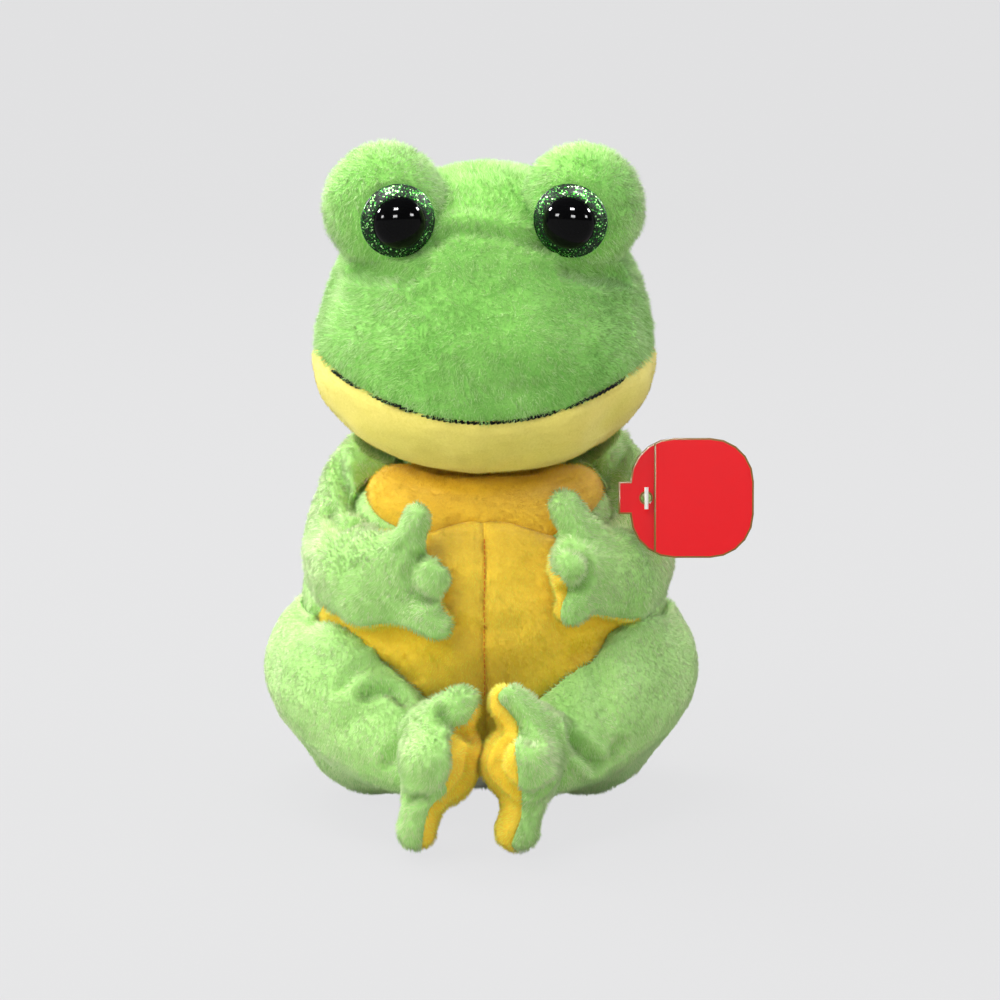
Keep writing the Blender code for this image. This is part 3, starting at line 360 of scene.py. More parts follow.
@dataclass(frozen=True)
class PileFinish:
    """One kind of pile: its fibres' size, spacing, lie and tones."""

    name: str
    slot: Slot
    tones: Tuple[Colour, Colour, Colour]
    length: float
    radius: float
    spacing: float
    comb_share: float = 0.35
    swirl_share: float = 0.45
    stray_share: float = 0.35
    swirl_size: float = 14.0 * MM
    tuft_size: float = 2.4 * MM
    sheen: float = 0.3
    fringe: float = 0.5
    tuft_share: float = 0.2
    own_shade: float = 0.45
    bloom: Colour = (220, 246, 198)

    def materials(self) -> List[bpy.types.Material]:
        """Build one material for each tone: a fibre is too thin to carry a pattern of its own."""
        sheen = {"sheen_weight": self.sheen, "sheen_roughness": 0.35, "sheen_tint": linear(self.bloom)}
        return [
            plain_material(f"{self.name}_{label}_fibre", tone, 0.75, specular_ior_level=0.08, **sheen)[0]
            for label, tone in zip(("deep", "middle", "pale"), self.tones)
        ]


@dataclass(frozen=True)
class Panel:
    """One sewn panel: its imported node, how far it is drawn in for its pile, and its finishes."""

    name: str
    node: str
    draw_in: float
    cloth: Optional[ClothFinish] = None
    pile: Optional[PileFinish] = None
    fine: bool = False


@dataclass(frozen=True)
class Fold:
    """A crease pressed into a stuffed form along a line of points, all in millimetres."""

    points: Tuple[Tuple[float, float, float], ...]
    depth: float = 1.2
    width: float = 2.2
    lip: float = 0.35

    def laid_on(self, skin: BVHTree) -> "Fold":
        """The same fold along a finer line that lies on a skin."""
        line = [Vector(point) for point in self.points]
        finer = []
        for start, end in zip(line[:-1], line[1:]):
            steps = max(1, round((end - start).length))
            finer += [start.lerp(end, step / steps) for step in range(steps)]
        laid = [skin.find_nearest(point * MM)[0] / MM for point in [*finer, line[-1]]]
        return replace(self, points=tuple(tuple(point) for point in laid))

    def offsets(self, places: Array) -> Array:
        """How far each place moves along its normal.

        Args:
            places: Rows of x, y and z in metres.

        Returns:
            One signed distance for each row, in metres.
        """
        line = np.array(self.points) * MM
        width = self.width * MM
        nearest = np.full(len(places), 1.0)
        for start, end in zip(line[:-1], line[1:]):
            along = end - start
            share = np.clip((places - start) @ along / max(along @ along, 1e-12), 0, 1)
            gap = places - (start + share[:, None] * along)
            nearest = np.minimum(nearest, np.sqrt((gap * gap).sum(1)))
        dip = np.exp(-((nearest / width) ** 2))
        rise = np.exp(-(((nearest - 2.1 * width) / width) ** 2))
        return self.depth * MM * (self.lip * rise - dip)


@dataclass(frozen=True)
class Swell:
    """A rounded rise on a stuffed form, about a point, all in millimetres."""

    point: Tuple[float, float, float]
    height: float
    width: float

    def laid_on(self, skin: BVHTree) -> "Swell":
        """A swell needs no line."""
        return self

    def near(self, places: Array) -> Array:
        """How near each place is to the point, from 1 there to 0 far away."""
        gap = places - np.array(self.point) * MM
        return np.exp(-(gap * gap).sum(1) / (self.width * MM) ** 2)

    def offsets(self, places: Array) -> Array:
        """How far each place moves out along its normal, in metres."""
        return self.height * MM * self.near(places)


@dataclass(frozen=True)
class Shove:
    """A push of a whole rounded edge in one direction, about a point, all in millimetres."""

    point: Tuple[float, float, float]
    way: Tuple[float, float, float]
    width: float

    def offsets(self, places: Array) -> Array:
        """How far each place moves, as rows of x, y and z in metres."""
        share = Swell(self.point, 1.0, self.width).near(places)
        return share[:, None] * np.array(self.way) * MM


# Folds and swells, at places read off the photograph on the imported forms, in millimetres
HEAD_FOLDS = (
    Fold(((-14, -27.6, 163.6), (-7.9, -27.6, 166.4), (1.6, -29.1, 165.8), (9.7, -28.7, 164.4),
          (17, -27, 161.8)), 1.6, 1.9, 0.6),
    Fold(((-14.7, -28.9, 160.5), (-7.9, -29.6, 162.4), (1.6, -30.8, 162), (12, -29.9, 160.6)), 0.9, 1.9),
    Fold(((-21.5, -31.7, 152), (-18.8, -31.3, 154.6), (-16, -31.2, 156.5)), 1.2, 1.6),
    Fold(((-37.1, -16.2, 153.9), (-29.9, -24.9, 153.5), (-22.9, -29.4, 154.4)), 1.9),
    Fold(((23.4, -28.4, 155.6), (30.3, -25, 153.2), (38.8, -15.9, 151.7)), 1.9),
    Swell((36, -32, 112), -3.4, 10),
    Swell((-26, -38, 108), -1.2, 8),
    Swell((11, -41, 105), -1.3, 8),
    Swell((-14, -41, 105), -1.3, 7),
)
BELLY_HOLLOW = Swell((-1, -19, 7), -4, 8)
TORSO_FOLDS = (
    Fold(((-16, -38, 60), (-6, -43, 58), (8, -43, 58.5)), 0.8, 3),
    Fold(((-30, -32, 46), (-20, -38, 43)), 1.0, 2.6),
    Fold(((24, -36, 49), (33, -30, 53)), 1.0, 2.6),
    BELLY_HOLLOW,
    Swell((-26.5, -16, 92.5), 4.8, 8),
    Swell((27, -16, 93), 4.8, 8),
    Swell((0, -22, 95.5), 2.2, 12),
)
ARM_FOLDS = {
    "left": (
        Fold(((-41.8, -6.9, 97.7), (-39.6, -12.9, 94.1), (-37.2, -15.4, 90.6), (-34, -19, 87)), 1.8),
        Fold(((-43.5, -17, 85.6), (-41.2, -23.5, 84.4), (-38, -28.5, 83.7), (-36, -26.5, 83.6)), 1.8, 1.8),
        Fold(((-16.1, -45.8, 79.2), (-19.8, -48.5, 77.3), (-20.7, -49.1, 73.8), (-19.1, -48.6, 69.8),
              (-15.3, -48.4, 67.5)), 1.3, 1.5, 0.5),
        Fold(((-22.3, -47.9, 81.3), (-19.6, -47.4, 80.4), (-16.1, -45.8, 79.6)), 0.9, 1.5),
        Swell((-14, -50.5, 74), 1.6, 3.6),
        Swell((-17.8, -46.9, 88), 0.8, 3.6),
        Swell((-18.2, -44, 92.4), 1.1, 3.6),
        Swell((-15.5, -49.3, 62.5), 1.1, 4.4),
        Swell((-34, -38, 62.5), 4.2, 7),
        Swell((-26, -43.5, 62), 2.6, 5.5),
        Shove((-29, -13, 93.5), (-4.5, 2, 0), 8),
        Swell((-9.5, -49, 65.5), -1.8, 2.5),
        Swell((-11, -49.5, 58.5), 1.2, 3),
    ),
    "right": (
        Fold(((41.2, -2.9, 102.2), (38.1, -10.7, 98.8), (34.6, -13.9, 94.3)), 1.8),
        Fold(((22.2, -49, 83.3), (26.4, -49.9, 82.4), (29, -50, 78.5), (28.6, -49, 73.6), (25.5, -48, 70.1),
              (22.2, -47.5, 69.6)), 1.3, 1.5, 0.5),
        Swell((23.5, -52, 77), 1.6, 3.6),
        Swell((42, -33.5, 61.5), 2.4, 6),
        Swell((27.5, -13, 95), -4, 7),
    ),
}
LEG_FOLDS = {
    "left": (
        Fold(((-47, -22, 55), (-42, -28, 53.5), (-38, -31, 52.5), (-33.5, -33.5, 51)), 1.6, 2.2, 0.2),
        Fold(((-39.6, -41.7, 41.6), (-36.3, -39.9, 45.3), (-31.6, -38.2, 47.3), (-28.3, -37, 47.7)),
             1.0, 2.0, 0.2),
        Fold(((-32.8, -44.6, 40.3), (-28.7, -44.1, 41.6), (-24.7, -43.8, 40.9), (-22, -45.6, 38.5)),
             2.4, 1.7, 0.3),
        Fold(((-38.8, -46.7, 31.2), (-33.4, -46.9, 36.8), (-30, -46.2, 38.8)), 1.1, 3.2, 0.1),
        Fold(((-26.5, -54.3, 22.3), (-23.8, -55.7, 28.3), (-21.5, -58, 34)), 1.6, 2, 0.2),
        Fold(((-11.5, -64.7, 40.5), (-9.7, -65.4, 38), (-7, -63.5, 34.3), (-3.8, -60.8, 32.2)), 2.0, 1.7),
        Fold(((-20, -67, 17.2), (-15.7, -71, 18.7), (-11.8, -71.2, 20.1), (-9.4, -71.6, 23),
              (-7.9, -70.5, 26.4), (-7.7, -70.1, 29.7), (-8.2, -67.3, 32.6)), 2.8, 1.7),
        Swell((-14.8, -74, 28), 2.8, 6.5),
        Swell((-4.5, -62.5, 27), 2.2, 7),
        Swell((-39, -26, 55), 5.5, 8),
        Swell((-32, -31, 52.5), 4.0, 7),
    ),
    "right": (
        Fold(((22, -56.5, 32.5), (24.8, -53.6, 28.1), (27.2, -53.2, 25.9), (31.4, -50, 20.8)), 3.2, 1.7, 0.4),
        Fold(((34.2, -48.4, 21.5), (35.7, -47.4, 23.4), (37, -46.7, 26)), 1.9, 2, 0.2),
        Fold(((30.1, -37.4, 48.2), (32, -42.8, 42.6), (33.9, -46.6, 36.7)), 1.4, 3.6, 0.1),
        Fold(((5.1, -64.7, 43.1), (7.5, -65.5, 39.1), (9.7, -67.1, 35.4), (12.5, -70.3, 33.6)), 1.6, 1.7),
        Fold(((7.3, -68.1, 32), (5.6, -69.4, 29.8), (5.4, -69.9, 26.2), (6.7, -71.5, 23),
              (9.1, -71.7, 20.3), (13.7, -72, 19.2), (17.4, -71.5, 21.5)), 3.0, 1.7),
        Swell((11.1, -74, 28.8), 3.0, 6.5),
        Swell((3.2, -62.5, 25.5), 4.6, 7),
        Swell((43, -24.5, 55.5), 5.5, 8),
        Swell((36.5, -30, 53.5), 4.0, 7),
    ),
}
# Where a neighbour gives way to the torso and to each arm
GIVE = {"left": Swell((-27, -13, 94), 5.5, 7.5), "right": Swell((27.5, -13, 94.5), 5.5, 7.5)}
# Skin that belongs to a panel although another's is nearer: x, y, z, gain and width, in millimetres
PATCHES = {
    "chest_panel": (
        (-29, -10, 93, 6, 7.5), (-26, -23, 87.5, 6.5, 7.5), (29, -10, 94, 6, 7.5), (26, -22, 88, 6, 7),
    ),
    "arm_left_panel": (
        (-43, -34, 65.5, 4.5, 5), (-38, -38.5, 64, 4.5, 5), (-31, -42.5, 63, 4.5, 5),
        (-24, -46.4, 63.4, 2.5, 4), (-9.3, -49.4, 61.5, 3, 3.5),
    ),
    "palm_right_panel": (
        (21.2, -48, 80.5, 4.2, 4), (21.5, -49.5, 76, 4.6, 4), (21.2, -47.5, 71.5, 4.2, 3.6),
        (20.8, -47, 65, 2.4, 3.4),
    ),
    "arm_right_panel": ((33, -40.5, 61.6, 3, 4.5), (39.5, -37.5, 62.3, 3, 4.5), (46, -32, 62.9, 3, 4.5)),
    "sole_left_panel": (
        (-9.1, -66.7, 34.4, 3, 2.6), (-5.1, -62.6, 35.2, 3, 2.8), (-2.2, -61.4, 37.9, 2.6, 2.6),
        (-10.6, -67.7, 35.5, 3.0, 3), (-7.9, -67.3, 32.3, 4.2, 3.5), (-6.2, -65.3, 29.8, 4.0, 3.5),
        (-8.5, -70.9, 29.6, 3.2, 3), (-9.1, -71.9, 26.2, 3.4, 3), (-10.8, -73.1, 23.5, 3.4, 3),
        (-13.5, -72.7, 20.9, 3.2, 3), (-15.6, -69.6, 17, 3.2, 4), (-15.9, -69.6, 11.8, 2.8, 4),
        (-15.2, -66.7, 6.8, 2, 3.4),
    ),
    "sole_right_panel": ((8.8, -73.4, 28, 0.8, 4),),
    "foot_right_panel": (
        (2.5, -62.4, 44.2, 4.0, 3.6), (5.5, -63.8, 43.5, 3.5, 3.6), (9.1, -70.5, 7.7, 2.2, 3.4),
        (7.3, -69.1, 2.9, 4.0, 4), (4.3, -68.6, 4.6, 2.0, 3),
    ),
}


class StuffedForm:
    """A body's closed soft form, made from its packed skins, and parted along its seams."""

    NEAR = 6 * MM
    TOUCH = 0.5 * MM
    TOUCH_FADE = 2.5 * MM
    LIP_REACH = 2.4 * MM
    LIP_FADE = 1.2 * MM
    PULL = 0.5
    # Turns of smoothing, and the share of each step back that keeps the form's size
    STAIRS_OUT = (3, 0.0)
    ROUND = (8, -0.53)
    CLEAN = (14, -0.515)
    FAIR = (60, -0.512)
    SEAM_TURNS = 24
    BESIDE_SEAM_TURNS = 8

    def __init__(
        self,
        name: str,
        panels: Sequence[Panel],
        inner: Sequence[str],
        step: float,
        rest: Optional[BVHTree] = None,
        give: Sequence[Swell] = (),
    ) -> None:
        """Merge, smooth and draw in the form.

        Args:
            name: The form's name.
            panels: Its panels.
            inner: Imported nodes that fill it.
            step: The spacing of its points.
            rest: The other bodies, which the form stays up against where it touches them.
            give: Where a neighbour gives way, and by how much.
        """
        self.panels = [panel.name for panel in panels]
        self.step = step
        self.rest = rest
        self.give = give
        self.thing = self._merged(name, [*(panel.node for panel in panels), *inner], step)
        self.mesh = self.thing.data
        self._keep_largest()
        self._find_edges()
        self.relax(*self.STAIRS_OUT)
        self.relax(*self.ROUND)
        self.part = self._parted(panels)
        self.relax(*self.CLEAN)
        kept = coordinates(self.mesh)
        self.relax(*self.FAIR)
        smooth = coordinates(self.mesh)
        detail = np.array([float(panel.fine) for panel in panels])[self.vertex_part]
        detail = self._evened(detail, 12)[:, None]
        self._move(smooth * (1 - detail) + kept * detail)
        places = coordinates(self.mesh)
        self.normals = vertex_normals(self.mesh)
        depth = np.array([panel.draw_in for panel in panels])[self.vertex_part]
        room = self.room(places)
        touch = np.clip((room - self.TOUCH) / self.TOUCH_FADE, 0, 1)
        depth = self._evened(depth * touch, 6)
        self._move(places - self.normals * depth[:, None])
        self._soften_lips(room)
        self._even_seams()

    def room(self, places: Array) -> Array:
        """How far each place is from the other bodies, up to a few millimetres."""
        room = np.full(len(places), self.NEAR)
        if self.rest is None:
            return room
        for index, place in enumerate(places):
            hit = self.rest.find_nearest(place, self.NEAR)
            if hit[0] is not None:
                inside = (Vector(place) - hit[0]).dot(hit[1]) < 0
                room[index] = -hit[3] if inside else hit[3]
        for swell in self.give:
            room += swell.offsets(places)
        return room

    def _soften_lips(self, room: Array) -> None:
        """Round the edges where the form meets another body."""
        share = self._evened(np.clip((self.LIP_REACH - room) / self.LIP_FADE, 0, 1), 3)[:, None]
        places = coordinates(self.mesh)
        for _ in range(9):
            places += 0.5 * share * (self._average(places) - places)
        self._move(places)

    @staticmethod
    def _merged(name: str, nodes: Sequence[str], step: float) -> bpy.types.Object:
        """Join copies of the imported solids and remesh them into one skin."""
        shape = packed_shape(nodes)
        bmesh.ops.remove_doubles(shape, verts=shape.verts[:], dist=0.001 * MM)
        mesh = bpy.data.meshes.new(name)
        write_shape(shape, mesh)
        thing = new_object(name, mesh)
        apply_modifier(thing, "REMESH", mode="VOXEL", voxel_size=step)
        return thing

    def _keep_largest(self) -> None:
        """Delete the pockets that the merged solids leave inside."""
        first, second = read(self.mesh.edges, "vertices", 2, int).T
        label = np.arange(len(self.mesh.vertices))
        while True:
            least = np.minimum(label[first], label[second])
            fresh = label.copy()
            np.minimum.at(fresh, first, least)
            np.minimum.at(fresh, second, least)
            fresh = fresh[fresh]
            if (fresh == label).all():
                break
            label = fresh
        biggest = np.bincount(label).argmax()
        shape = shape_of(self.mesh)
        shape.verts.ensure_lookup_table()
        loose = [shape.verts[index] for index in np.flatnonzero(label != biggest)]
        bmesh.ops.delete(shape, geom=loose, context="VERTS")
        write_shape(shape, self.mesh)

    def _find_edges(self) -> None:
        """Keep the pairs of points that share an edge, and each point's number of edges."""
        self.ends = read(self.mesh.edges, "vertices", 2, int)
        self.degree = np.bincount(self.ends.ravel(), minlength=len(self.mesh.vertices)).astype(float)

    @staticmethod
    def _totals(values: Array, ends: Array) -> Array:
        """Each point's total over the points it shares an edge with, one column for each value."""
        first, second = ends.T
        count = len(values)
        total = np.empty((count, values[0].size))
        for column, known in enumerate(values.reshape(count, -1).T):
            total[:, column] = np.bincount(first, known[second], count)
            total[:, column] += np.bincount(second, known[first], count)
        return total

    def _average(self, values: Array) -> Array:
        """Each point's mean over the points it shares an edge with."""
        return (self._totals(values, self.ends) / self.degree[:, None]).reshape(values.shape)

    def _evened(self, values: Array, turns: int) -> Array:
        """Spread values over the skin."""
        for _ in range(turns):
            values = 0.5 * values + 0.5 * self._average(values)
        return values

    def _move(self, places: Array) -> None:
        """Give the points their new places."""
        self.mesh.vertices.foreach_set("co", places.ravel())
        self.mesh.update()

    def relax(self, turns: int, push: float) -> None:
        """Smooth the form without shrinking it.

        Args:
            turns: How many pairs of steps.
            push: The share of each second step, back from the neighbours' mean.
        """
        places = coordinates(self.mesh)
        for _ in range(turns):
            for share in (self.PULL, push):
                places += share * (self._average(places) - places)
        self._move(places)

    def _parted(self, panels: Sequence[Panel]) -> Array:
        """Give each face to the panel whose packed skin is nearest, or that has a patch there."""
        places = coordinates(self.mesh)
        spans = []
        for panel in panels:
            tree = search_tree(packed_shape([panel.node]))
            span = np.array([tree.find_nearest(place)[3] for place in places])
            for *point, gain, width in PATCHES.get(panel.name, ()):
                span -= Swell(tuple(point), gain, width).offsets(places)
            spans.append(span)
        spans = self._evened(np.array(spans).T, 5)
        self.vertex_part = spans.argmin(1)
        return spans[self.corners()].mean(1).argmin(1)

    def corners(self) -> Array:
        """Each face's four corners. A triangle's last corner is given twice."""
        points = read(self.mesh.loops, "vertex_index", 1, int)[:, 0]
        starts = read(self.mesh.polygons, "loop_start", 1, int)
        last = read(self.mesh.polygons, "loop_total", 1, int) - 1
        return points[starts + np.minimum(np.arange(4), last)]

    def _even_seams(self) -> None:
        """Draw the stepped boundaries between panels into smooth lines on the same skin."""
        places = coordinates(self.mesh)
        corners = self.corners()
        count = len(places)
        seen = np.zeros((count, len(self.panels)), bool)
        for column in range(4):
            seen[corners[:, column], self.part] = True
        on_seam = seen.sum(1) > 1
        self.on_seam = on_seam
        if not on_seam.any():
            return
        tree = self.tree()
        # Only edges between two faces of different panels make the line
        edge_parts: Dict[Tuple[int, int], List[int]] = {}
        for face in np.flatnonzero(on_seam[corners].sum(1) > 1):
            ring = list(dict.fromkeys(corners[face]))
            for start, end in zip(ring, ring[1:] + ring[:1]):
                if on_seam[start] and on_seam[end]:
                    edge_parts.setdefault((min(start, end), max(start, end)), []).append(self.part[face])
        line = np.array([edge for edge, parts in edge_parts.items() if len(set(parts)) > 1]).reshape(-1, 2)
        degree = np.bincount(line.ravel(), minlength=count)
        moved = degree > 0
        for _ in range(self.SEAM_TURNS):
            total = self._totals(places, line)
            places[moved] += 0.5 * (total[moved] / degree[moved, None] - places[moved])
        near = self._evened(on_seam.astype(float), 5) > 0.005
        free = near & ~moved
        for _ in range(self.BESIDE_SEAM_TURNS):
            places[free] += 0.5 * (self._average(places)[free] - places[free])
        for index in np.flatnonzero(near):
            places[index] = tree.find_nearest(places[index])[0]
        self._move(places)

    def seam_depth(self, depth: float, width: float) -> Array:
        """How far the seams pull each point in.

        Args:
            depth: The pull at the seam.
            width: Where it has faded to a third.

        Returns:
            One distance for each point.
        """
        reach = np.where(self.on_seam, 0.0, 1.0)
        first, second = self.ends[:, 0], self.ends[:, 1]
        places = coordinates(self.mesh)
        length = np.linalg.norm(places[first] - places[second], axis=1)
        for _ in range(int(3 * width / self.step) + 2):
            fresh = reach.copy()
            np.minimum.at(fresh, first, reach[second] + length)
            np.minimum.at(fresh, second, reach[first] + length)
            reach = fresh
        return self._evened(depth * np.exp(-((reach / width) ** 2)), 2)

    def sculpt(
        self,
        folds: Sequence[Union[Fold, Swell, Shove]],
        seam: float,
        seam_width: float,
        lumps: float,
        seed: int,
    ) -> None:
        """Press in the seams and folds, and give the form the unevenness of hand stuffing.

        Args:
            folds: The creases, swells and shoves.
            seam: How deep the seams lie.
            seam_width: How wide their valleys are.
            lumps: The height of the unevenness.
            seed: Chooses its pattern.
        """
        places = coordinates(self.mesh)
        move = -self.seam_depth(seam, seam_width)
        skin = self.tree()
        shoved = places.copy()
        for fold in folds:
            if isinstance(fold, Shove):
                shoved += fold.offsets(places)
            else:
                move += fold.laid_on(skin).offsets(places)
        move += lumps * wave_noise(places, 16 * MM, seed)
        move += 0.4 * lumps * wave_noise(places, 6 * MM, seed + 1)
        self._move(shoved + vertex_normals(self.mesh) * move[:, None])
        self.normals = vertex_normals(self.mesh)

    def tree(self) -> BVHTree:
        """A search tree of the form's skin."""
        return search_tree(shape_of(self.mesh))

    def panel(self, name: str, wall: float) -> bpy.types.Object:
        """Make one panel a closed shell of its own.

        Args:
            name: One of the form's panels.
            wall: The cloth's thickness.

        Returns:
            The panel's object.
        """
        shape = shape_of(self.mesh)
        shape.faces.ensure_lookup_table()
        others = [shape.faces[face] for face in np.flatnonzero(self.part != self.panels.index(name))]
        bmesh.ops.delete(shape, geom=others, context="FACES")
        mesh = bpy.data.meshes.new(name)
        write_shape(shape, mesh)
        smooth_faces(mesh)
        thing = new_object(name, mesh)
        apply_modifier(thing, "SOLIDIFY", thickness=wall, offset=-1.0)
        return thing

    def discard(self) -> None:
        """Remove the whole form once its panels and pile are made."""
        bpy.data.objects.remove(self.thing)


class PileMaker:
    """Sets fibres on the panels of a stuffed form, clear of what the form rests against."""

    MOST_FIBRES = 49_000
    OVERLAP = 1.0 * MM
    LEAST_ROOM = -0.7 * MM
    LEAST_SHARE = 0.22
    LENGTHS = (0.7, 1.15)
    THICKNESSES = (0.8, 1.25)
    TONE_EDGES = (-0.45, 0.45)
    COMB = (0.0, 0.0, -1.0)
    ROOT = 0.25 * MM
    TUFT_RISE = 0.14
    FRINGE_AT = 1.4 * MM
    FRINGE_WIDTH = 1.2 * MM
    FLOOR_GAP = 0.1 * MM
    TONE_PATCH = 11 * MM
    TONE_SHARES = (0.35, 0.55)

    def __init__(self) -> None:
        """Start the count of fibres."""
        self.count = 0

    def grow(
        self,
        form: StuffedForm,
        panel: str,
        finish: PileFinish,
        body: str,
        bare: Optional[Callable[[Array], Array]] = None,
    ) -> None:
        """Set a panel's pile.

        Args:
            form: The stuffed form.
            panel: The panel's name.
            finish: The kind of pile.
            body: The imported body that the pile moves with.
            bare: Gives the share of the length that each root keeps, where some of the skin is bare.
        """
        draws = np.random.default_rng(SEED + sum(map(ord, panel)))
        places = coordinates(form.mesh)
        corners = form.corners()[form.part == form.panels.index(panel)]
        triangles = np.r_[corners[:, [0, 1, 2]], corners[:, [0, 2, 3]]]
        a, b, c = (places[triangles[:, column]] for column in range(3))
        area = np.linalg.norm(np.cross(b - a, c - a), axis=1) / 2
        total = int(area.sum() / finish.spacing**2)
        chosen = draws.choice(len(area), total, p=area / area.sum())
        u, v = draws.random(total), draws.random(total)
        over = u + v > 1
        u[over], v[over] = 1 - u[over], 1 - v[over]
        shares = np.stack([1 - u - v, u, v], 1)
        picked = triangles[chosen]
        roots = (places[picked] * shares[..., None]).sum(1)
        normals = (form.normals[picked] * shares[..., None]).sum(1)
        normals /= np.linalg.norm(normals, axis=1)[:, None]
        clear = (form.room(places)[picked] * shares).sum(1)
        length = finish.length * draws.uniform(*self.LENGTHS, total)
        length *= 1 + self.TUFT_RISE * wave_noise(roots, finish.tuft_size, 3)
        if bare is not None:
            length *= bare(roots)
        length *= 1 + finish.fringe * np.exp(-(((clear - self.FRINGE_AT) / self.FRINGE_WIDTH) ** 2))
        length = np.minimum(length, clear + self.OVERLAP)
        length = np.minimum(length, np.where(normals[:, 2] < 0, roots[:, 2] - self.FLOOR_GAP, 1.0))
        keep = (length > self.LEAST_SHARE * finish.length) & (clear > self.LEAST_ROOM)
        roots, normals, length = roots[keep], normals[keep], length[keep]
        heading = self._headings(finish, roots, normals, draws)
        patchy, mixed = self.TONE_SHARES
        tone = wave_noise(roots, self.TONE_PATCH, 5) * patchy + draws.normal(size=len(roots)) * mixed
        tone = np.digitize(tone, self.TONE_EDGES)
        materials = finish.materials()
        pieces = math.ceil(len(roots) / self.MOST_FIBRES)
        for piece in range(pieces):
            rooted = [values[piece::pieces] for values in (roots, normals, heading, length, tone)]
            name = f"{panel}_pile" + (f"_{piece + 1}" if pieces > 1 else "")
            thing = self._fibres(name, *rooted, finish, draws)
            for material in materials:
                thing.data.materials.append(material)
            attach(thing, body)
        self.count += len(roots)
        log.info("%s: %d fibres in %d pieces", panel, len(roots), pieces)

    @classmethod
    def _headings(
        cls, finish: PileFinish, roots: Array, normals: Array, draws: np.random.Generator
    ) -> Array:
        """Each fibre's direction: off the skin, combed, in loose swirls and with strays."""
        swirl = np.stack([wave_noise(roots, finish.swirl_size, 20 + axis) for axis in range(3)], 1)
        tuft = np.stack([wave_noise(roots, finish.tuft_size, 30 + axis) for axis in range(3)], 1)
        lie = np.array([cls.COMB]) * finish.comb_share + swirl * finish.swirl_share
        lie = lie + tuft * finish.tuft_share
        lie = lie + draws.normal(size=roots.shape) * finish.stray_share * 0.6
        lie -= (lie * normals).sum(1)[:, None] * normals
        heading = normals + lie
        return heading / np.linalg.norm(heading, axis=1)[:, None]

    @classmethod
    def _fibres(
        cls,
        name: str,
        roots: Array,
        normals: Array,
        heading: Array,
        length: Array,
        tone: Array,
        finish: PileFinish,
        draws: np.random.Generator,
    ) -> bpy.types.Object:
        """Make the fibres as slender closed three-sided spikes, shaded mostly like the skin below."""
        count = len(roots)
        helper = np.where(np.abs(heading[:, 2:3]) > 0.9, [[1.0, 0, 0]], [[0, 0, 1.0]])
        side = np.cross(heading, helper)
        side /= np.linalg.norm(side, axis=1)[:, None]
        other = np.cross(heading, side)
        turn = draws.uniform(0, 2 * math.pi, count)
        thickness = finish.radius * draws.uniform(*cls.THICKNESSES, count)
        base = roots - heading * cls.ROOT
        corners = np.empty((count, 4, 3))
        shading = np.repeat(normals[:, None], 4, 1)
        for corner in range(3):
            angle = turn + corner * 2 * math.pi / 3
            spoke = side * np.cos(angle)[:, None] + other * np.sin(angle)[:, None]
            corners[:, corner] = base + spoke * thickness[:, None]
            shading[:, corner] += spoke * finish.own_shade
        corners[:, 3] = roots + heading * length[:, None]
        shading[:, 3] += heading * finish.own_shade
        shading /= np.linalg.norm(shading, axis=2)[..., None]
        faces = np.array([[0, 2, 1], [0, 1, 3], [1, 2, 3], [2, 0, 3]])
        loops = (np.arange(count)[:, None, None] * 4 + faces[None]).ravel()
        mesh = bpy.data.meshes.new(name)
        mesh.vertices.add(count * 4)
        mesh.vertices.foreach_set("co", corners.ravel())
        mesh.loops.add(count * 12)
        mesh.loops.foreach_set("vertex_index", loops)
        mesh.polygons.add(count * 4)
        mesh.polygons.foreach_set("loop_start", np.arange(count * 4) * 3)
        mesh.polygons.foreach_set("material_index", np.repeat(tone, 4))
        mesh.polygons.foreach_set("use_smooth", np.ones(count * 4, bool))
        mesh.update(calc_edges=True)
        mesh.validate()
        mesh.normals_split_custom_set_from_vertices(shading.reshape(-1, 3))
        return new_object(name, mesh)


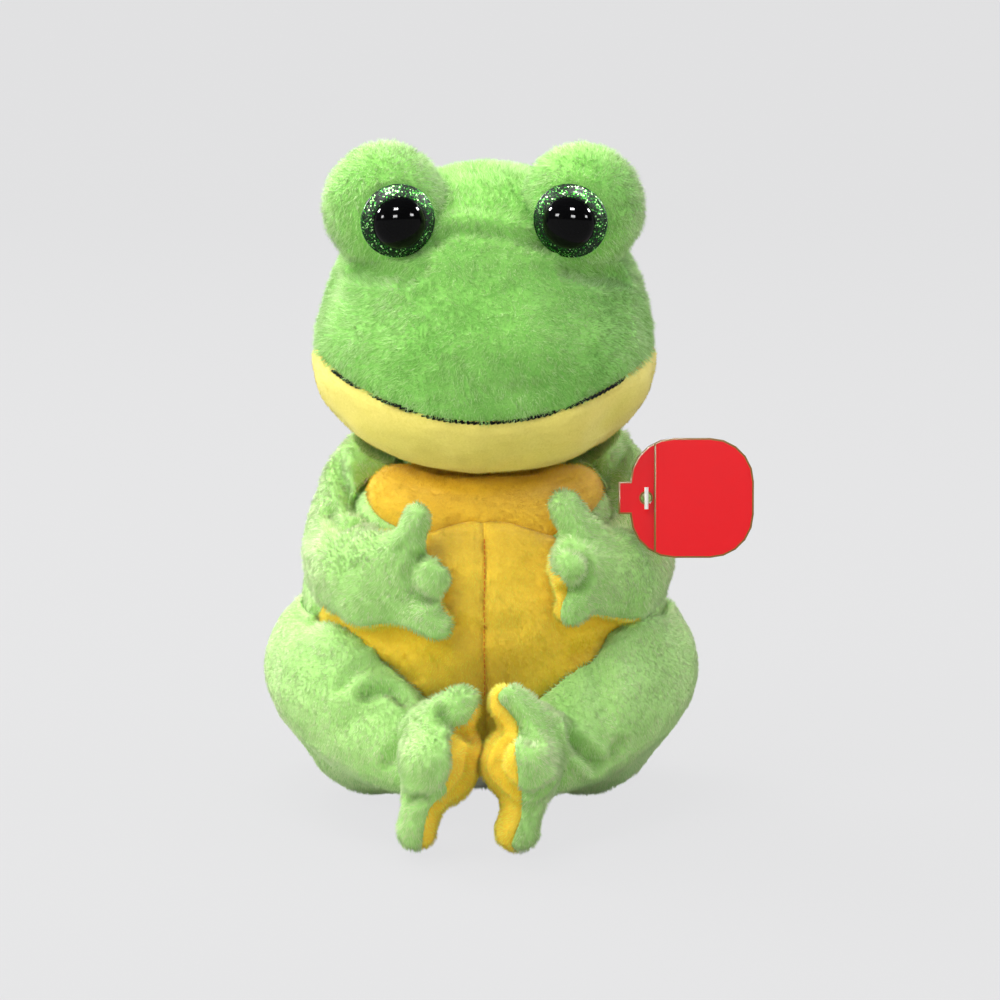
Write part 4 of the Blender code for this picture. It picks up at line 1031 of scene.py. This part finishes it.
class Finishes:
    """Every finish of the toy, by name."""

    crown_cloth = ClothFinish("crown_cloth", (120, 193, 77), (151, 218, 102))
    limb_cloth = ClothFinish("limb_cloth", (152, 210, 106), (182, 230, 136), 0.15)
    belly_cloth = ClothFinish("belly_cloth", (240, 196, 40), (255, 216, 56))
    chest_cloth = ClothFinish("chest_cloth", (233, 183, 29), (254, 208, 44))
    jaw_cloth = ClothFinish("jaw_cloth", (221, 206, 90), (235, 220, 112))
    filling = ClothFinish("fibre_filling", (214, 212, 206), (245, 244, 240), 0.9)
    pellets = ClothFinish("pellet_cloth", (150, 150, 146), (190, 190, 186), 0.5)
    crown_pile = PileFinish(
        "crown",
        Slot.CROWN,
        ((130, 197, 84), (173, 226, 127), (201, 238, 160)),
        2.0 * MM,
        0.105 * MM,
        0.5 * MM,
        comb_share=0.7,
        swirl_share=0.3,
        stray_share=0.5,
        own_shade=0.8,
        sheen=0.6,
    )
    # The eye bulges have the crown's plush; their paler tones are painted light, for the light that falls on
    # the tops of the bulges.
    bulge_pile = replace(crown_pile, name="bulge", tones=((142, 205, 96), (184, 232, 138), (211, 243, 174)))
    limb_pile = PileFinish(
        "limb",
        Slot.LIMB,
        ((172, 224, 126), (200, 236, 154), (222, 244, 182)),
        1.1 * MM,
        0.13 * MM,
        0.54 * MM,
        tuft_share=0.1,
        sheen=0.45,
        comb_share=1.1,
        swirl_share=0.3,
        swirl_size=22 * MM,
    )
    hand_pile = PileFinish(
        "hand",
        Slot.LIMB,
        ((172, 224, 126), (203, 237, 158), (228, 246, 190)),
        1.45 * MM,
        0.12 * MM,
        0.49 * MM,
        tuft_share=0.1,
        sheen=0.45,
        comb_share=0.7,
    )
    back_pile = replace(
        limb_pile,
        name="back",
        tones=((170, 222, 124), (198, 234, 152), (220, 242, 178)),
        radius=0.16 * MM,
        spacing=0.78 * MM,
        swirl_share=0.45,
    )
    belly_pile = PileFinish(
        "belly",
        Slot.BELLY,
        ((250, 203, 36), (255, 224, 54), (255, 242, 88)),
        0.95 * MM,
        0.08 * MM,
        0.47 * MM,
        comb_share=0.7,
        swirl_share=0.2,
        tuft_share=0.3,
        own_shade=0.7,
        bloom=(255, 226, 110),
    )
    chest_pile = replace(
        belly_pile,
        name="chest",
        slot=Slot.CHEST,
        tones=((228, 172, 22), (244, 193, 34), (252, 216, 56)),
        length=1.0 * MM,
        radius=0.075 * MM,
        spacing=0.44 * MM,
    )
    palm_pile = PileFinish(
        "palm",
        Slot.BELLY,
        ((250, 222, 52), (255, 242, 79), (255, 255, 118)),
        1.0 * MM,
        0.085 * MM,
        0.46 * MM,
        bloom=(255, 226, 110),
    )
    jaw_pile = replace(
        palm_pile,
        name="jaw",
        slot=Slot.JAW,
        tones=((217, 203, 90), (228, 215, 108), (240, 227, 130)),
        length=0.5 * MM,
        radius=0.09 * MM,
        spacing=0.7 * MM,
    )


class SafetyEye:
    """A glitter iris ring and a glossy pupil dome, turned at a finer step than the solids."""

    BULGE_SIDE = 27.0 * MM
    BULGE_FRONT = 13.0 * MM
    BULGE_HEIGHT = 170.6 * MM
    INWARD = 13.0
    DOWN = 7.5
    RADIUS = 10.25 * MM
    FLAT = 15.29 * MM
    RIM = 1.2 * MM
    CONE = 1.3 * MM
    EDGE = 0.45 * MM
    BOW = 0.35 * MM
    PUPIL = 7.25 * MM
    DOME = 4.6 * MM
    GAP = 0.3 * MM
    POST = 2.0 * MM
    POST_LENGTH = 6.5 * MM
    STEPS = 72

    def __init__(self, name: str, side: float) -> None:
        """Keep the eye's name and place."""
        self.name = name
        self.place = self.placed(side)

    @classmethod
    def placed(cls, side: float) -> Matrix:
        """A frame at the bulge's centre whose own z is the eye's axis, outwards."""
        place = Matrix.Translation((side * cls.BULGE_SIDE, -cls.BULGE_FRONT, cls.BULGE_HEIGHT))
        turn = Matrix.Rotation(-side * math.radians(cls.INWARD), 4, "Z")
        return place @ turn @ Matrix.Rotation(math.radians(90 + cls.DOWN), 4, "X")

    def turned(self, name: str, profile: Sequence[Tuple[float, float]]) -> bpy.types.Object:
        """Spin a profile of radius and height round the eye's axis.

        Args:
            name: The piece's name.
            profile: Its points, from the top of the axis to the bottom.

        Returns:
            The closed piece.
        """
        mesh = bpy.data.meshes.new(name)
        mesh.from_pydata([(x, 0, z) for x, z in profile], [(i, i + 1) for i in range(len(profile) - 1)], [])
        thing = new_object(name, mesh)
        select_only(thing)
        bpy.ops.object.mode_set(mode="EDIT")
        bpy.ops.mesh.select_all(action="SELECT")
        bpy.ops.mesh.spin(steps=self.STEPS, angle=2 * math.pi, center=(0, 0, 0), axis=(0, 0, 1))
        bpy.ops.mesh.select_all(action="SELECT")
        bpy.ops.mesh.remove_doubles(threshold=0.002 * MM)
        bpy.ops.mesh.normals_make_consistent(inside=False)
        bpy.ops.object.mode_set(mode="OBJECT")
        mesh.transform(self.place)
        bpy.ops.object.shade_smooth_by_angle(angle=math.radians(32))
        return thing

    def build(self, iris: bpy.types.Material, pupil: bpy.types.Material) -> None:
        """Make the iris and the pupil."""
        base = self.FLAT + self.GAP
        foot = self.FLAT - self.POST_LENGTH
        rim = base + self.RIM
        face = rim + self.CONE
        shoulder = self.RADIUS - self.EDGE
        cone = shoulder - self.PUPIL
        slope = [step / 6 for step in range(1, 6)]
        bend = [math.pi / 2 * step / 4 for step in range(5)]
        ring = [
            (0, face - self.BOW),
            (self.PUPIL - 0.9 * MM, face - self.BOW),
            (self.PUPIL - 0.3 * MM, face),
            (self.PUPIL + 0.2 * MM, face),
            *((self.PUPIL + cone * s, face - self.CONE * s + self.BOW * math.sin(math.pi * s)) for s in slope),
            *((shoulder + self.EDGE * math.sin(a), rim - self.EDGE + self.EDGE * math.cos(a)) for a in bend),
            (self.RADIUS, base),
            (self.POST, base),
            (self.POST, foot + self.EDGE),
            (self.POST - self.EDGE, foot),
            (0, foot),
        ]
        seat = face + 0.02 * MM
        arc = [math.pi / 2 * step / 18 for step in range(1, 19)]
        dome = [
            (0, seat + self.DOME),
            *((self.PUPIL * math.sin(a), seat + self.DOME * math.cos(a)) for a in arc),
            (self.PUPIL - 0.4 * MM, seat - 0.15 * MM),
            (0, seat - 0.15 * MM),
        ]
        parts = (("iris", ring, iris, Slot.IRIS), ("pupil", dome, pupil, Slot.PUPIL))
        for part, profile, material, slot in parts:
            thing = self.turned(f"{part}_{self.name}", profile)
            thing.data.materials.append(material)
            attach(thing, "head")
            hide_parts(f"eye_{part}_{self.name}")
        log.info("eye_%s: iris and pupil", self.name)


def glitter_material() -> bpy.types.Material:
    """Dark green plastic with bright flakes set at many angles under a clear coat."""
    gloss = {"specular_ior_level": 0.12, "coat_weight": 0.04, "coat_roughness": 0.2}
    material, tree, shader = plain_material("glitter_iris", (6, 40, 12), 0.42, **gloss)
    place = add_node(tree, "TexCoord")
    flakes = add_node(tree, "TexVoronoi", scale=3900.0)
    ramp = add_node(tree, "ValToRGB")
    stops = ramp.color_ramp.elements
    stops[0].color, stops[1].color = linear((2, 16, 5)), linear((196, 255, 170))
    for position, colour in ((0.6, (2, 22, 5)), (0.82, (7, 56, 11)), (0.94, (44, 150, 32))):
        stops.new(position).color = linear(colour)
    parts = add_node(tree, "SeparateColor")
    shine = add_node(tree, "MapRange", from_min=0.8, from_max=0.92)
    bump = add_node(tree, "Bump", strength=0.8, distance=0.25 * MM)
    join(
        tree,
        (place, "Object", flakes, "Vector"),
        (flakes, "Color", parts, "Color"),
        (parts, "Red", ramp, "Fac"),
        (ramp, "Color", shader, "Base Color"),
        (parts, "Red", shine, "Value"),
        (shine, "Result", shader, "Metallic"),
        (parts, "Green", bump, "Height"),
        (bump, "Normal", shader, "Normal"),
    )
    return material


def gloss_material(groups: ShaderGroups) -> bpy.types.Material:
    """Polished black plastic with faint wiping marks."""
    material, tree, shader = plain_material("pupil_gloss", (7, 7, 8), 0.05, specular_ior_level=0.08)
    nap = add_node(tree, "Group", groups.nap, streak_scale=300.0, lump_scale=90.0)
    rough = add_node(tree, "MapRange", to_min=0.03, to_max=0.09)
    join(tree, (nap, "Height", rough, "Value"), (rough, "Result", shader, "Roughness"))
    return material


def thread_material(name: str, colour: Colour) -> bpy.types.Material:
    """Twisted polyester thread: slanted bands across each stitch."""
    material, tree, shader = plain_material(name, colour, 0.85, specular_ior_level=0.03)
    place = add_node(tree, "TexCoord")
    bands = add_node(tree, "TexWave", scale=900.0)
    bands.bands_direction = "DIAGONAL"
    bump = add_node(tree, "Bump", strength=0.6, distance=0.15 * MM)
    join(
        tree,
        (place, "Object", bands, "Vector"),
        (bands, "Fac", bump, "Height"),
        (bump, "Normal", shader, "Normal"),
    )
    return material


def card_material(name: str, colour: Colour, roughness: float, coat: float) -> bpy.types.Material:
    """Printed card: an even colour with paper grain and faint scuffs in its gloss."""
    gloss = {"specular_ior_level": 0.05, "coat_weight": coat, "coat_roughness": 0.12}
    material, tree, shader = plain_material(name, colour, roughness, **gloss)
    place = add_node(tree, "TexCoord")
    grain = add_node(tree, "TexNoise", scale=260.0, detail=6.0)
    rough = add_node(tree, "MapRange", to_min=roughness * 0.75, to_max=roughness * 1.3)
    bump = add_node(tree, "Bump", strength=0.15, distance=0.05 * MM)
    join(
        tree,
        (place, "Object", grain, "Vector"),
        (grain, "Fac", rough, "Value"),
        (rough, "Result", shader, "Roughness"),
        (grain, "Fac", bump, "Height"),
        (bump, "Normal", shader, "Normal"),
    )
    return material


@dataclass(frozen=True)
class Stitch:
    """A kind of stitch. Its slant is in radians, and its lift off the form changes by its waver."""

    pitch: float
    length: float
    radius: float
    lift: float
    slant: float = 0.0
    waver: float = 0.0


class Seamstress:
    """Lays rows of stitches along lines on a form."""

    def __init__(self, tree: BVHTree) -> None:
        """Keep the form's search tree."""
        self.tree = tree

    def on_form(self, x: float, z: float) -> Tuple[Vector, Vector]:
        """The front of the form at a place in the front view, and its normal."""
        hit, normal, _, _ = self.tree.ray_cast(Vector((x, -0.2, z)), Vector((0, 1, 0)))
        return hit, normal

    def row(self, name: str, line: Sequence[Tuple[float, float]], stitch: Stitch) -> bpy.types.Object:
        """Sew stitches along a line in the front view.

        Args:
            name: The piece's name.
            line: Places in the front view.
            stitch: The kind of stitch.

        Returns:
            The row as one object.
        """
        points = [self.on_form(x, z) for x, z in line]
        bpy.ops.mesh.primitive_uv_sphere_add(segments=8, ring_count=8, radius=stitch.radius)
        seed = bpy.context.object
        corners = coordinates(seed.data)
        corners[:, 2] += np.sign(np.round(corners[:, 2], 7)) * (stitch.length / 2 - stitch.radius)
        faces = [tuple(face.vertices) for face in seed.data.polygons]
        bpy.data.objects.remove(seed)
        rows, polygons = [], []
        travelled, due = 0.0, 0.0
        for (here, normal), (there, after) in zip(points[:-1], points[1:]):
            span = (there - here).length
            while due <= travelled + span:
                share = (due - travelled) / span
                middle = here.lerp(there, share)
                out = normal.lerp(after, share).normalized()
                along = (there - here).normalized()
                along.rotate(Matrix.Rotation(stitch.slant, 3, out))
                across = out.cross(along).normalized()
                basis = np.array([across, out, along])
                start = len(rows) * len(corners)
                rise = stitch.lift + stitch.waver * wave_noise(np.array([middle]), 5 * MM, 90)[0]
                rows.append(corners @ basis + np.array(middle + out * rise))
                polygons += [tuple(start + corner for corner in face) for face in faces]
                due += stitch.pitch
            travelled += span
        mesh = bpy.data.meshes.new(name)
        mesh.from_pydata(np.concatenate(rows).tolist(), [], polygons)
        smooth_faces(mesh)
        shape = shape_of(mesh)
        bmesh.ops.recalc_face_normals(shape, faces=shape.faces[:])
        write_shape(shape, mesh)
        log.info("%s: %d stitches", name, len(rows))
        return new_object(name, mesh)


class CardTag:
    """The plain two-leaf card tag with its foil edge."""

    BORDER = 0.5 * MM

    def leaf(self, node: str, red: bpy.types.Material, foil: bpy.types.Material, body: str) -> None:
        """Rebuild one leaf from its solid, with a foil border and softened edges.

        Args:
            node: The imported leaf.
            red: The card's face.
            foil: The border and the cut edge.
            body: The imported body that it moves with.
        """
        shape = packed_shape([node])
        bmesh.ops.remove_doubles(shape, verts=shape.verts[:], dist=0.001 * MM)
        flat = math.radians(2)
        bmesh.ops.dissolve_limit(shape, angle_limit=flat, verts=shape.verts[:], edges=shape.edges[:])
        main = max(shape.faces, key=lambda face: face.calc_area()).normal.copy()
        wide = [face for face in shape.faces if abs(face.normal.dot(main)) > 0.95]
        for face in shape.faces:
            face.material_index = 1
        inset = {"thickness": self.BORDER, "use_even_offset": True, "use_boundary": True}
        bmesh.ops.inset_region(shape, faces=wide, **inset)
        for face in wide:
            face.material_index = 0
        mesh = bpy.data.meshes.new(f"{node}_card")
        mesh.materials.append(red)
        mesh.materials.append(foil)
        write_shape(shape, mesh)
        thing = new_object(f"{node}_card", mesh)
        bevel = {"width": 0.12 * MM, "segments": 2, "limit_method": "ANGLE"}
        apply_modifier(thing, "BEVEL", **bevel, angle_limit=math.radians(50))
        bpy.ops.object.shade_smooth_by_angle(angle=math.radians(30))
        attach(thing, body)
        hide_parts(node)
        log.info("%s: card leaf", node)


class Frog:
    """The whole toy: its stuffed bodies with their pile, its face and its tag."""

    WALL = 0.5 * MM
    INSET = 1.9 * MM
    MOUTH_HEIGHT = 116.3
    MOUTH_RISE = 15.0
    HEAD_HALF_WIDTH = 49.5 * MM
    COLLAR = (90 * MM, 103 * MM)

    def __init__(self) -> None:
        """Build the node groups and start the count of fibres."""
        self.groups = ShaderGroups()
        self.pile = PileMaker()

    @staticmethod
    def others(body: str) -> BVHTree:
        """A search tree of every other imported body's nodes, apart from the tag."""
        bodies = frame["record"]["behaviour"]["bodies"].items()
        rest = [nodes for other, nodes in bodies if other != body and not other.startswith("tag")]
        return search_tree(packed_shape([node for nodes in rest for node in nodes]))

    def dress(
        self,
        form: StuffedForm,
        body: str,
        panels: Sequence[Panel],
        bare: Optional[Callable[[Array], Array]] = None,
    ) -> None:
        """Part a form into its panels and set their pile.

        Args:
            form: The stuffed form.
            body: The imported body.
            panels: Its panels.
            bare: Where the pile is thinned or left off.
        """
        for panel in panels:
            thing = form.panel(panel.name, self.WALL)
            thing.data.materials.append(panel.cloth.material(self.groups))
            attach(thing, body)
            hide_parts(panel.node)
            self.pile.grow(form, panel.name, panel.pile, body, bare)
            log.info("%s: panel with %d faces", panel.name, len(thing.data.polygons))
        form.discard()

    def filling(
        self,
        body: str,
        name: str,
        node: str,
        hollow: Sequence[Swell] = (),
        cloth: ClothFinish = Finishes.filling,
        slot: Slot = Slot.FILLING,
    ) -> None:
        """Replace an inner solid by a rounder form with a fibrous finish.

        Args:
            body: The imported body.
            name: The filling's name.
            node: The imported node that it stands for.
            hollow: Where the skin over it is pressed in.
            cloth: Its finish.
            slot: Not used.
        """
        form = StuffedForm(name, [Panel(name, node, self.INSET)], (), 1.8 * MM)
        form.sculpt(hollow, 0.0, MM, 0.0, 0)
        thing = form.thing
        smooth_faces(thing.data)
        thing.data.materials.append(cloth.material(self.groups))
        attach(thing, body)
        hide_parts(node)
        log.info("%s: filling", name)

    def build_head(self) -> None:
        """Crown, jaw, bulges, eyes and mouth."""
        # The bulges' paler pile tones are painted light on the tops of the head.
        crown, bulge = Finishes.crown_pile, Finishes.bulge_pile
        cloth = Finishes.crown_cloth
        panels = [
            Panel("crown_panel", "head_crown_skin", 1.3 * MM, cloth, crown),
            Panel("jaw_panel", "head_jaw_skin", 0.3 * MM, Finishes.jaw_cloth, Finishes.jaw_pile),
            *(Panel(f"bulge_{side}_panel", f"eye_bulge_{side}", 1.2 * MM, cloth, bulge) for side in SIDES),
        ]
        inner = ["head_stuffing", *(f"eye_{part}_{side}" for part in ("filling", "washer") for side in SIDES)]
        form = StuffedForm("head_form", panels, inner, 1.2 * MM, self.others("head"))
        form.sculpt(HEAD_FOLDS, 0.9 * MM, 1.9 * MM, 0.2 * MM, 40)
        self.mouth(form)
        self.dress(form, "head", panels, self._face_pile)
        iris, pupil = glitter_material(), gloss_material(self.groups)
        for name, side in SIDES.items():
            SafetyEye(name, side).build(iris, pupil)

    @classmethod
    def _face_pile(cls, roots: Array) -> Array:
        """No pile under an eye's rim, shorter pile just round it, and longer over the mouth."""
        share = np.ones(len(roots))
        for side in SIDES.values():
            inverse = np.array(SafetyEye.placed(side).inverted())
            local = roots @ inverse[:3, :3].T + inverse[:3, 3]
            away = np.hypot(local[:, 0], local[:, 1])
            ring = np.clip((away - 9.7 * MM) / (1.6 * MM), 0, 1)
            share = np.where(local[:, 2] > 8 * MM, share * ring, share)
        above = roots[:, 2] - cls.mouth_height(roots[:, 0])
        lip = (np.abs(above) < 3 * MM) & (roots[:, 1] < -10 * MM)
        uneven = 0.25 + 0.3 * wave_noise(roots, 4 * MM, 91)
        return np.where(lip, share * (1 + np.clip(uneven, 0, 0.6)), share)

    @classmethod
    def mouth_height(cls, x: Array) -> Array:
        """The mouth's height at each place across the face."""
        return (cls.MOUTH_HEIGHT + cls.MOUTH_RISE * (x / cls.HEAD_HALF_WIDTH) ** 2) * MM

    def mouth(self, form: StuffedForm) -> None:
        """Black stitches along the seam between the crown and the jaw."""
        across = [(-42.0 + 80.5 * step / 80) * MM for step in range(81)]
        line = [(x, float(self.mouth_height(x))) for x in across]
        stitch = Stitch(1.6 * MM, 2.3 * MM, 0.36 * MM, 0.05 * MM, 0.3, 0.75 * MM)
        thread = Seamstress(form.tree()).row("mouth_stitches", line, stitch)
        thread.data.materials.append(thread_material("black_thread", (8, 8, 8)))
        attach(thread, "head")
        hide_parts("mouth_stitching")

    def build_torso(self) -> None:
        """Back, chest and the two belly panels, with the stitches of the belly's seam."""
        cloth, pile = Finishes.belly_cloth, Finishes.belly_pile
        panels = [
            Panel("back_panel", "torso_back_skin", 0.7 * MM, Finishes.limb_cloth, Finishes.back_pile),
            Panel("chest_panel", "chest_skin", 0.4 * MM, Finishes.chest_cloth, Finishes.chest_pile),
            *(Panel(f"belly_{side}_panel", f"belly_skin_{side}", 0.4 * MM, cloth, pile) for side in SIDES),
        ]
        inner = ["torso_stuffing", "pellet_bag"]
        give = list(GIVE.values())
        form = StuffedForm("torso_form", panels, inner, 1.4 * MM, self.others("torso"), give)
        form.sculpt(TORSO_FOLDS, 1.1 * MM, 1.5 * MM, 0.25 * MM, 50)
        line = [(0.0, (81 - step) * MM) for step in range(44)]
        stitch = Stitch(1.7 * MM, 1.3 * MM, 0.14 * MM, 0.35 * MM)
        seam = Seamstress(form.tree()).row("belly_stitches", line, stitch)
        seam.data.materials.append(thread_material("belly_thread", (232, 128, 30)))
        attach(seam, "torso")
        self.dress(form, "torso", panels)
        self.filling("torso", "torso_filling", "torso_stuffing", (BELLY_HOLLOW,))
        self.filling("torso", "pellets", "pellet_bag", (BELLY_HOLLOW,), Finishes.pellets, Slot.PELLETS)

    def build_neck(self) -> None:
        """The ball of the neck: the chest's plush in front and the back's behind."""
        front = [Panel("neck_front", "neck_stuffing", 0.3 * MM)]
        form = StuffedForm("neck_ball", front, (), 1.6 * MM, self.others("neck"))
        form.panels = ["neck_front", "neck_back"]
        middles = coordinates(form.mesh)[form.corners()].mean(1)
        form.part = (middles[:, 1] > -8 * MM).astype(int)
        thing = form.thing
        smooth_faces(thing.data)
        for cloth in (Finishes.chest_cloth, Finishes.limb_cloth):
            thing.data.materials.append(cloth.material(self.groups))
        thing.data.polygons.foreach_set("material_index", form.part)
        for panel, pile in zip(form.panels, (Finishes.chest_pile, Finishes.back_pile)):
            self.pile.grow(form, panel, pile, "neck", self._collar)
        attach(thing, "neck")
        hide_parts("neck_stuffing")

    @classmethod
    def _collar(cls, roots: Array) -> Array:
        """Pile only on the band of the neck that shows between the head and the chest."""
        low, high = cls.COLLAR
        return np.where((roots[:, 2] > low) & (roots[:, 2] < high), 1.6, 0.0)

    def build_arm(self, side: str) -> None:
        """One arm with its hand."""
        body, stuffing = f"arm_{side}", f"arm_stuffing_{side}"
        green = (0.8 * MM, Finishes.limb_cloth, Finishes.hand_pile, True)
        yellow = (0.6 * MM, Finishes.belly_cloth, Finishes.palm_pile, True)
        panels = [
            Panel(f"arm_{side}_panel", f"arm_skin_{side}", *green),
            Panel(f"palm_{side}_panel", f"palm_skin_{side}", *yellow),
        ]
        form = StuffedForm(f"{body}_form", panels, [stuffing], 0.82 * MM, self.others(body), [GIVE[side]])
        form.sculpt(ARM_FOLDS[side], 0.4 * MM, 1.2 * MM, 0.15 * MM, 60)
        self.dress(form, body, panels)
        self.filling(body, f"{body}_filling", stuffing)

    def build_leg(self, side: str) -> None:
        """One folded leg with its foot."""
        body, stuffing = f"leg_{side}", f"leg_stuffing_{side}"
        green = (0.8 * MM, Finishes.limb_cloth, Finishes.hand_pile, True)
        yellow = (0.6 * MM, Finishes.belly_cloth, Finishes.palm_pile, True)
        panels = [
            Panel(f"leg_{side}_panel", f"leg_skin_{side}", 0.7 * MM, Finishes.limb_cloth, Finishes.limb_pile),
            Panel(f"foot_{side}_panel", f"foot_skin_{side}", *green),
            Panel(f"sole_{side}_panel", f"sole_skin_{side}", *yellow),
        ]
        form = StuffedForm(f"{body}_form", panels, [stuffing], 1.0 * MM, self.others(body))
        form.sculpt(LEG_FOLDS[side], 0.5 * MM, 1.3 * MM, 0.22 * MM, 70)
        self.dress(form, body, panels)
        self.filling(body, f"{body}_filling", stuffing)

    def build_tag(self) -> None:
        """Both leaves of the tag, and nylon for its fastener and the eyes' washers."""
        red = card_material("red_card", (228, 8, 22), 0.5, 0.0)
        foil = card_material("foil_edge", (132, 98, 44), 0.3, 0.2)
        tag = CardTag()
        tag.leaf("tag_front_leaf", red, foil, "tag_front")
        tag.leaf("tag_back_leaf", red, foil, "tag")
        nylon = card_material("nylon", (232, 232, 228), 0.3, 0.3)
        for node in ("tag_fastener", "eye_washer_left", "eye_washer_right"):
            for entry in frame["nodes"][node].material_slots:
                entry.material = nylon

    def build(self) -> None:
        """Build every part of the toy."""
        self.build_torso()
        self.build_neck()
        self.build_head()
        self.filling("head", "head_filling", "head_stuffing")
        for side in SIDES:
            self.filling("head", f"eye_{side}_filling", f"eye_filling_{side}")
            self.build_arm(side)
            self.build_leg(side)
        self.build_tag()
        log.info("pile: %d fibres in all", self.pile.count)


class Studio:
    """The pale floor, the soft lamps and the camera at the photograph's angle."""

    DISTANCE = 0.900
    ELEVATION = 12.0
    LOOK = Vector((0.0043, 0.0, 0.085))
    LENS = 113.4
    BEND_START = 1.4
    BEND_RADIUS = 0.8
    EYE_LIGHT_AWAY = 0.7

    def build(self) -> None:
        """Set up the whole studio."""
        self.floor()
        self.lamps()
        self.camera()
        bpy.context.scene.view_settings.view_transform = "Standard"

    def floor(self) -> None:
        """A floor that curves up into a backdrop, pale grey to the camera and to gloss."""
        bpy.ops.mesh.primitive_grid_add(x_subdivisions=2, y_subdivisions=60, size=8.0)
        sheet = bpy.context.object
        sheet.name = "studio_sweep"
        places = coordinates(sheet.data)
        places[:, 0] *= 5
        places[places[:, 1] < 0, 1] *= 5
        beyond = np.maximum(places[:, 1] - self.BEND_START, 0)
        angle = np.minimum(beyond / self.BEND_RADIUS, math.pi / 2)
        bent = self.BEND_START + self.BEND_RADIUS * np.sin(angle)
        straight = np.maximum(0, beyond - self.BEND_RADIUS * math.pi / 2)
        places[:, 1] = np.where(beyond > 0, bent, places[:, 1])
        places[:, 2] = self.BEND_RADIUS * (1 - np.cos(angle)) + straight
        sheet.data.vertices.foreach_set("co", places.ravel())
        smooth_faces(sheet.data)
        sheet.data.materials.append(self.sweep_material())

    @staticmethod
    def sweep_material() -> bpy.types.Material:
        """Pale grey, mostly by itself where the camera or gloss sees it, with a share of the shadow."""
        material, tree, shader = plain_material("studio_sweep", (178, 178, 178), 0.9, specular_ior_level=0.0)
        glow = add_node(tree, "Emission", color=linear((229, 229, 230)))
        path, mix = add_node(tree, "LightPath"), add_node(tree, "MixShader")
        seen, gloss, share = (add_node(tree, "Math") for _ in range(3))
        for node in (seen, gloss):
            node.operation = "ADD"
            node.use_clamp = True
        share.operation = "MULTIPLY"
        share.inputs[1].default_value = 0.94
        join(
            tree,
            (path, "Is Camera Ray", seen, 0),
            (path, "Is Transmission Ray", seen, 1),
            (seen, "Value", gloss, 0),
            (path, "Is Glossy Ray", gloss, 1),
            (gloss, "Value", share, 0),
            (share, "Value", mix, "Fac"),
            (shader, "BSDF", mix, 1),
            (glow, "Emission", mix, 2),
            (mix, "Shader", tree.nodes["Material Output"], "Surface"),
        )
        return material

    @staticmethod
    def lamp(name: str, place: Vector, size: Tuple[float, float], power: float, seen: bool = True) -> None:
        """Add a softbox that faces the toy.

        Args:
            name: The lamp's name.
            place: Where it stands.
            size: Its width and height.
            power: Its power in watts.
            seen: Whether it lights cloth too, or only shows in gloss.
        """
        data = bpy.data.lights.new(name, "AREA")
        data.shape = "RECTANGLE"
        data.size, data.size_y = size
        data.energy = power
        thing = new_object(name, data)
        thing.location = place
        aim = Vector((0, 0, 0.1)) - place
        thing.rotation_euler = aim.to_track_quat("-Z", "Y").to_euler()
        thing.visible_diffuse = seen
        thing.visible_glossy = not seen
        thing.visible_camera = False

    def lamps(self) -> None:
        """The key from the upper left, fills, and the small softboxes that show in the eyes."""
        for label, place, size, power in (
            ("key", (-1.15, -0.75, 0.9), (0.6, 0.6), 10),
            ("front", (-0.75, -1.15, 0.95), (0.6, 0.6), 3.6),
            ("side", (-1.1, 0.0, 0.55), (0.5, 0.8), 6.5),
            ("top", (0.0, 0.1, 1.3), (0.7, 0.7), 12),
            ("high", (-0.45, -0.6, 1.35), (0.6, 0.6), 4.5),
            ("back", (-0.7, 0.6, 1.2), (0.6, 0.6), 17),
            ("right", (1.1, -0.1, 0.7), (0.6, 0.8), 5.7),
            ("low", (0.3, -1.15, 0.15), (0.6, 0.6), 1.4),
            ("fill", (1.0, -1.0, 0.6), (0.9, 0.9), 1.6),
        ):
            self.lamp(label, Vector(place), size, power)
        face = Vector((0, -0.03, 0.17))
        for label, way, power in (
            ("left", (-0.84, 0.2, 0.42), 24),
            ("middle", (0.0, -0.78, 0.6), 24),
            ("right", (0.84, 0.2, 0.44), 24),
            ("left_low", (-0.75, -0.62, 0.2), 4.0),
            ("middle_low", (0.0, -0.98, 0.17), 4.0),
            ("right_low", (0.76, -0.55, 0.2), 4.0),
        ):
            place = face + Vector(way).normalized() * self.EYE_LIGHT_AWAY
            self.lamp(f"eye_light_{label}", place, (0.15, 0.09), power, False)
        world = bpy.data.worlds.new("studio")
        world.use_nodes = True
        back = world.node_tree.nodes["Background"]
        back.inputs["Color"].default_value = linear((230, 230, 232))
        back.inputs["Strength"].default_value = 0.1
        bpy.context.scene.world = world

    def camera(self) -> None:
        """The photograph's viewing angle."""
        data = bpy.data.cameras.new("camera")
        data.lens = self.LENS
        data.sensor_width = 36.0
        thing = new_object("camera", data)
        lift = math.radians(self.ELEVATION)
        back = Vector((0, -math.cos(lift), math.sin(lift)))
        thing.location = self.LOOK + back * self.DISTANCE
        thing.rotation_euler = (-back).to_track_quat("-Z", "Y").to_euler()
        bpy.context.scene.camera = thing


def main() -> None:
    """Build the toy and its studio."""
    logging.basicConfig(level=logging.INFO, format="%(message)s")
    Studio().build()
    Frog().build()
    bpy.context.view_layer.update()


if __name__ == "__main__":
    main()
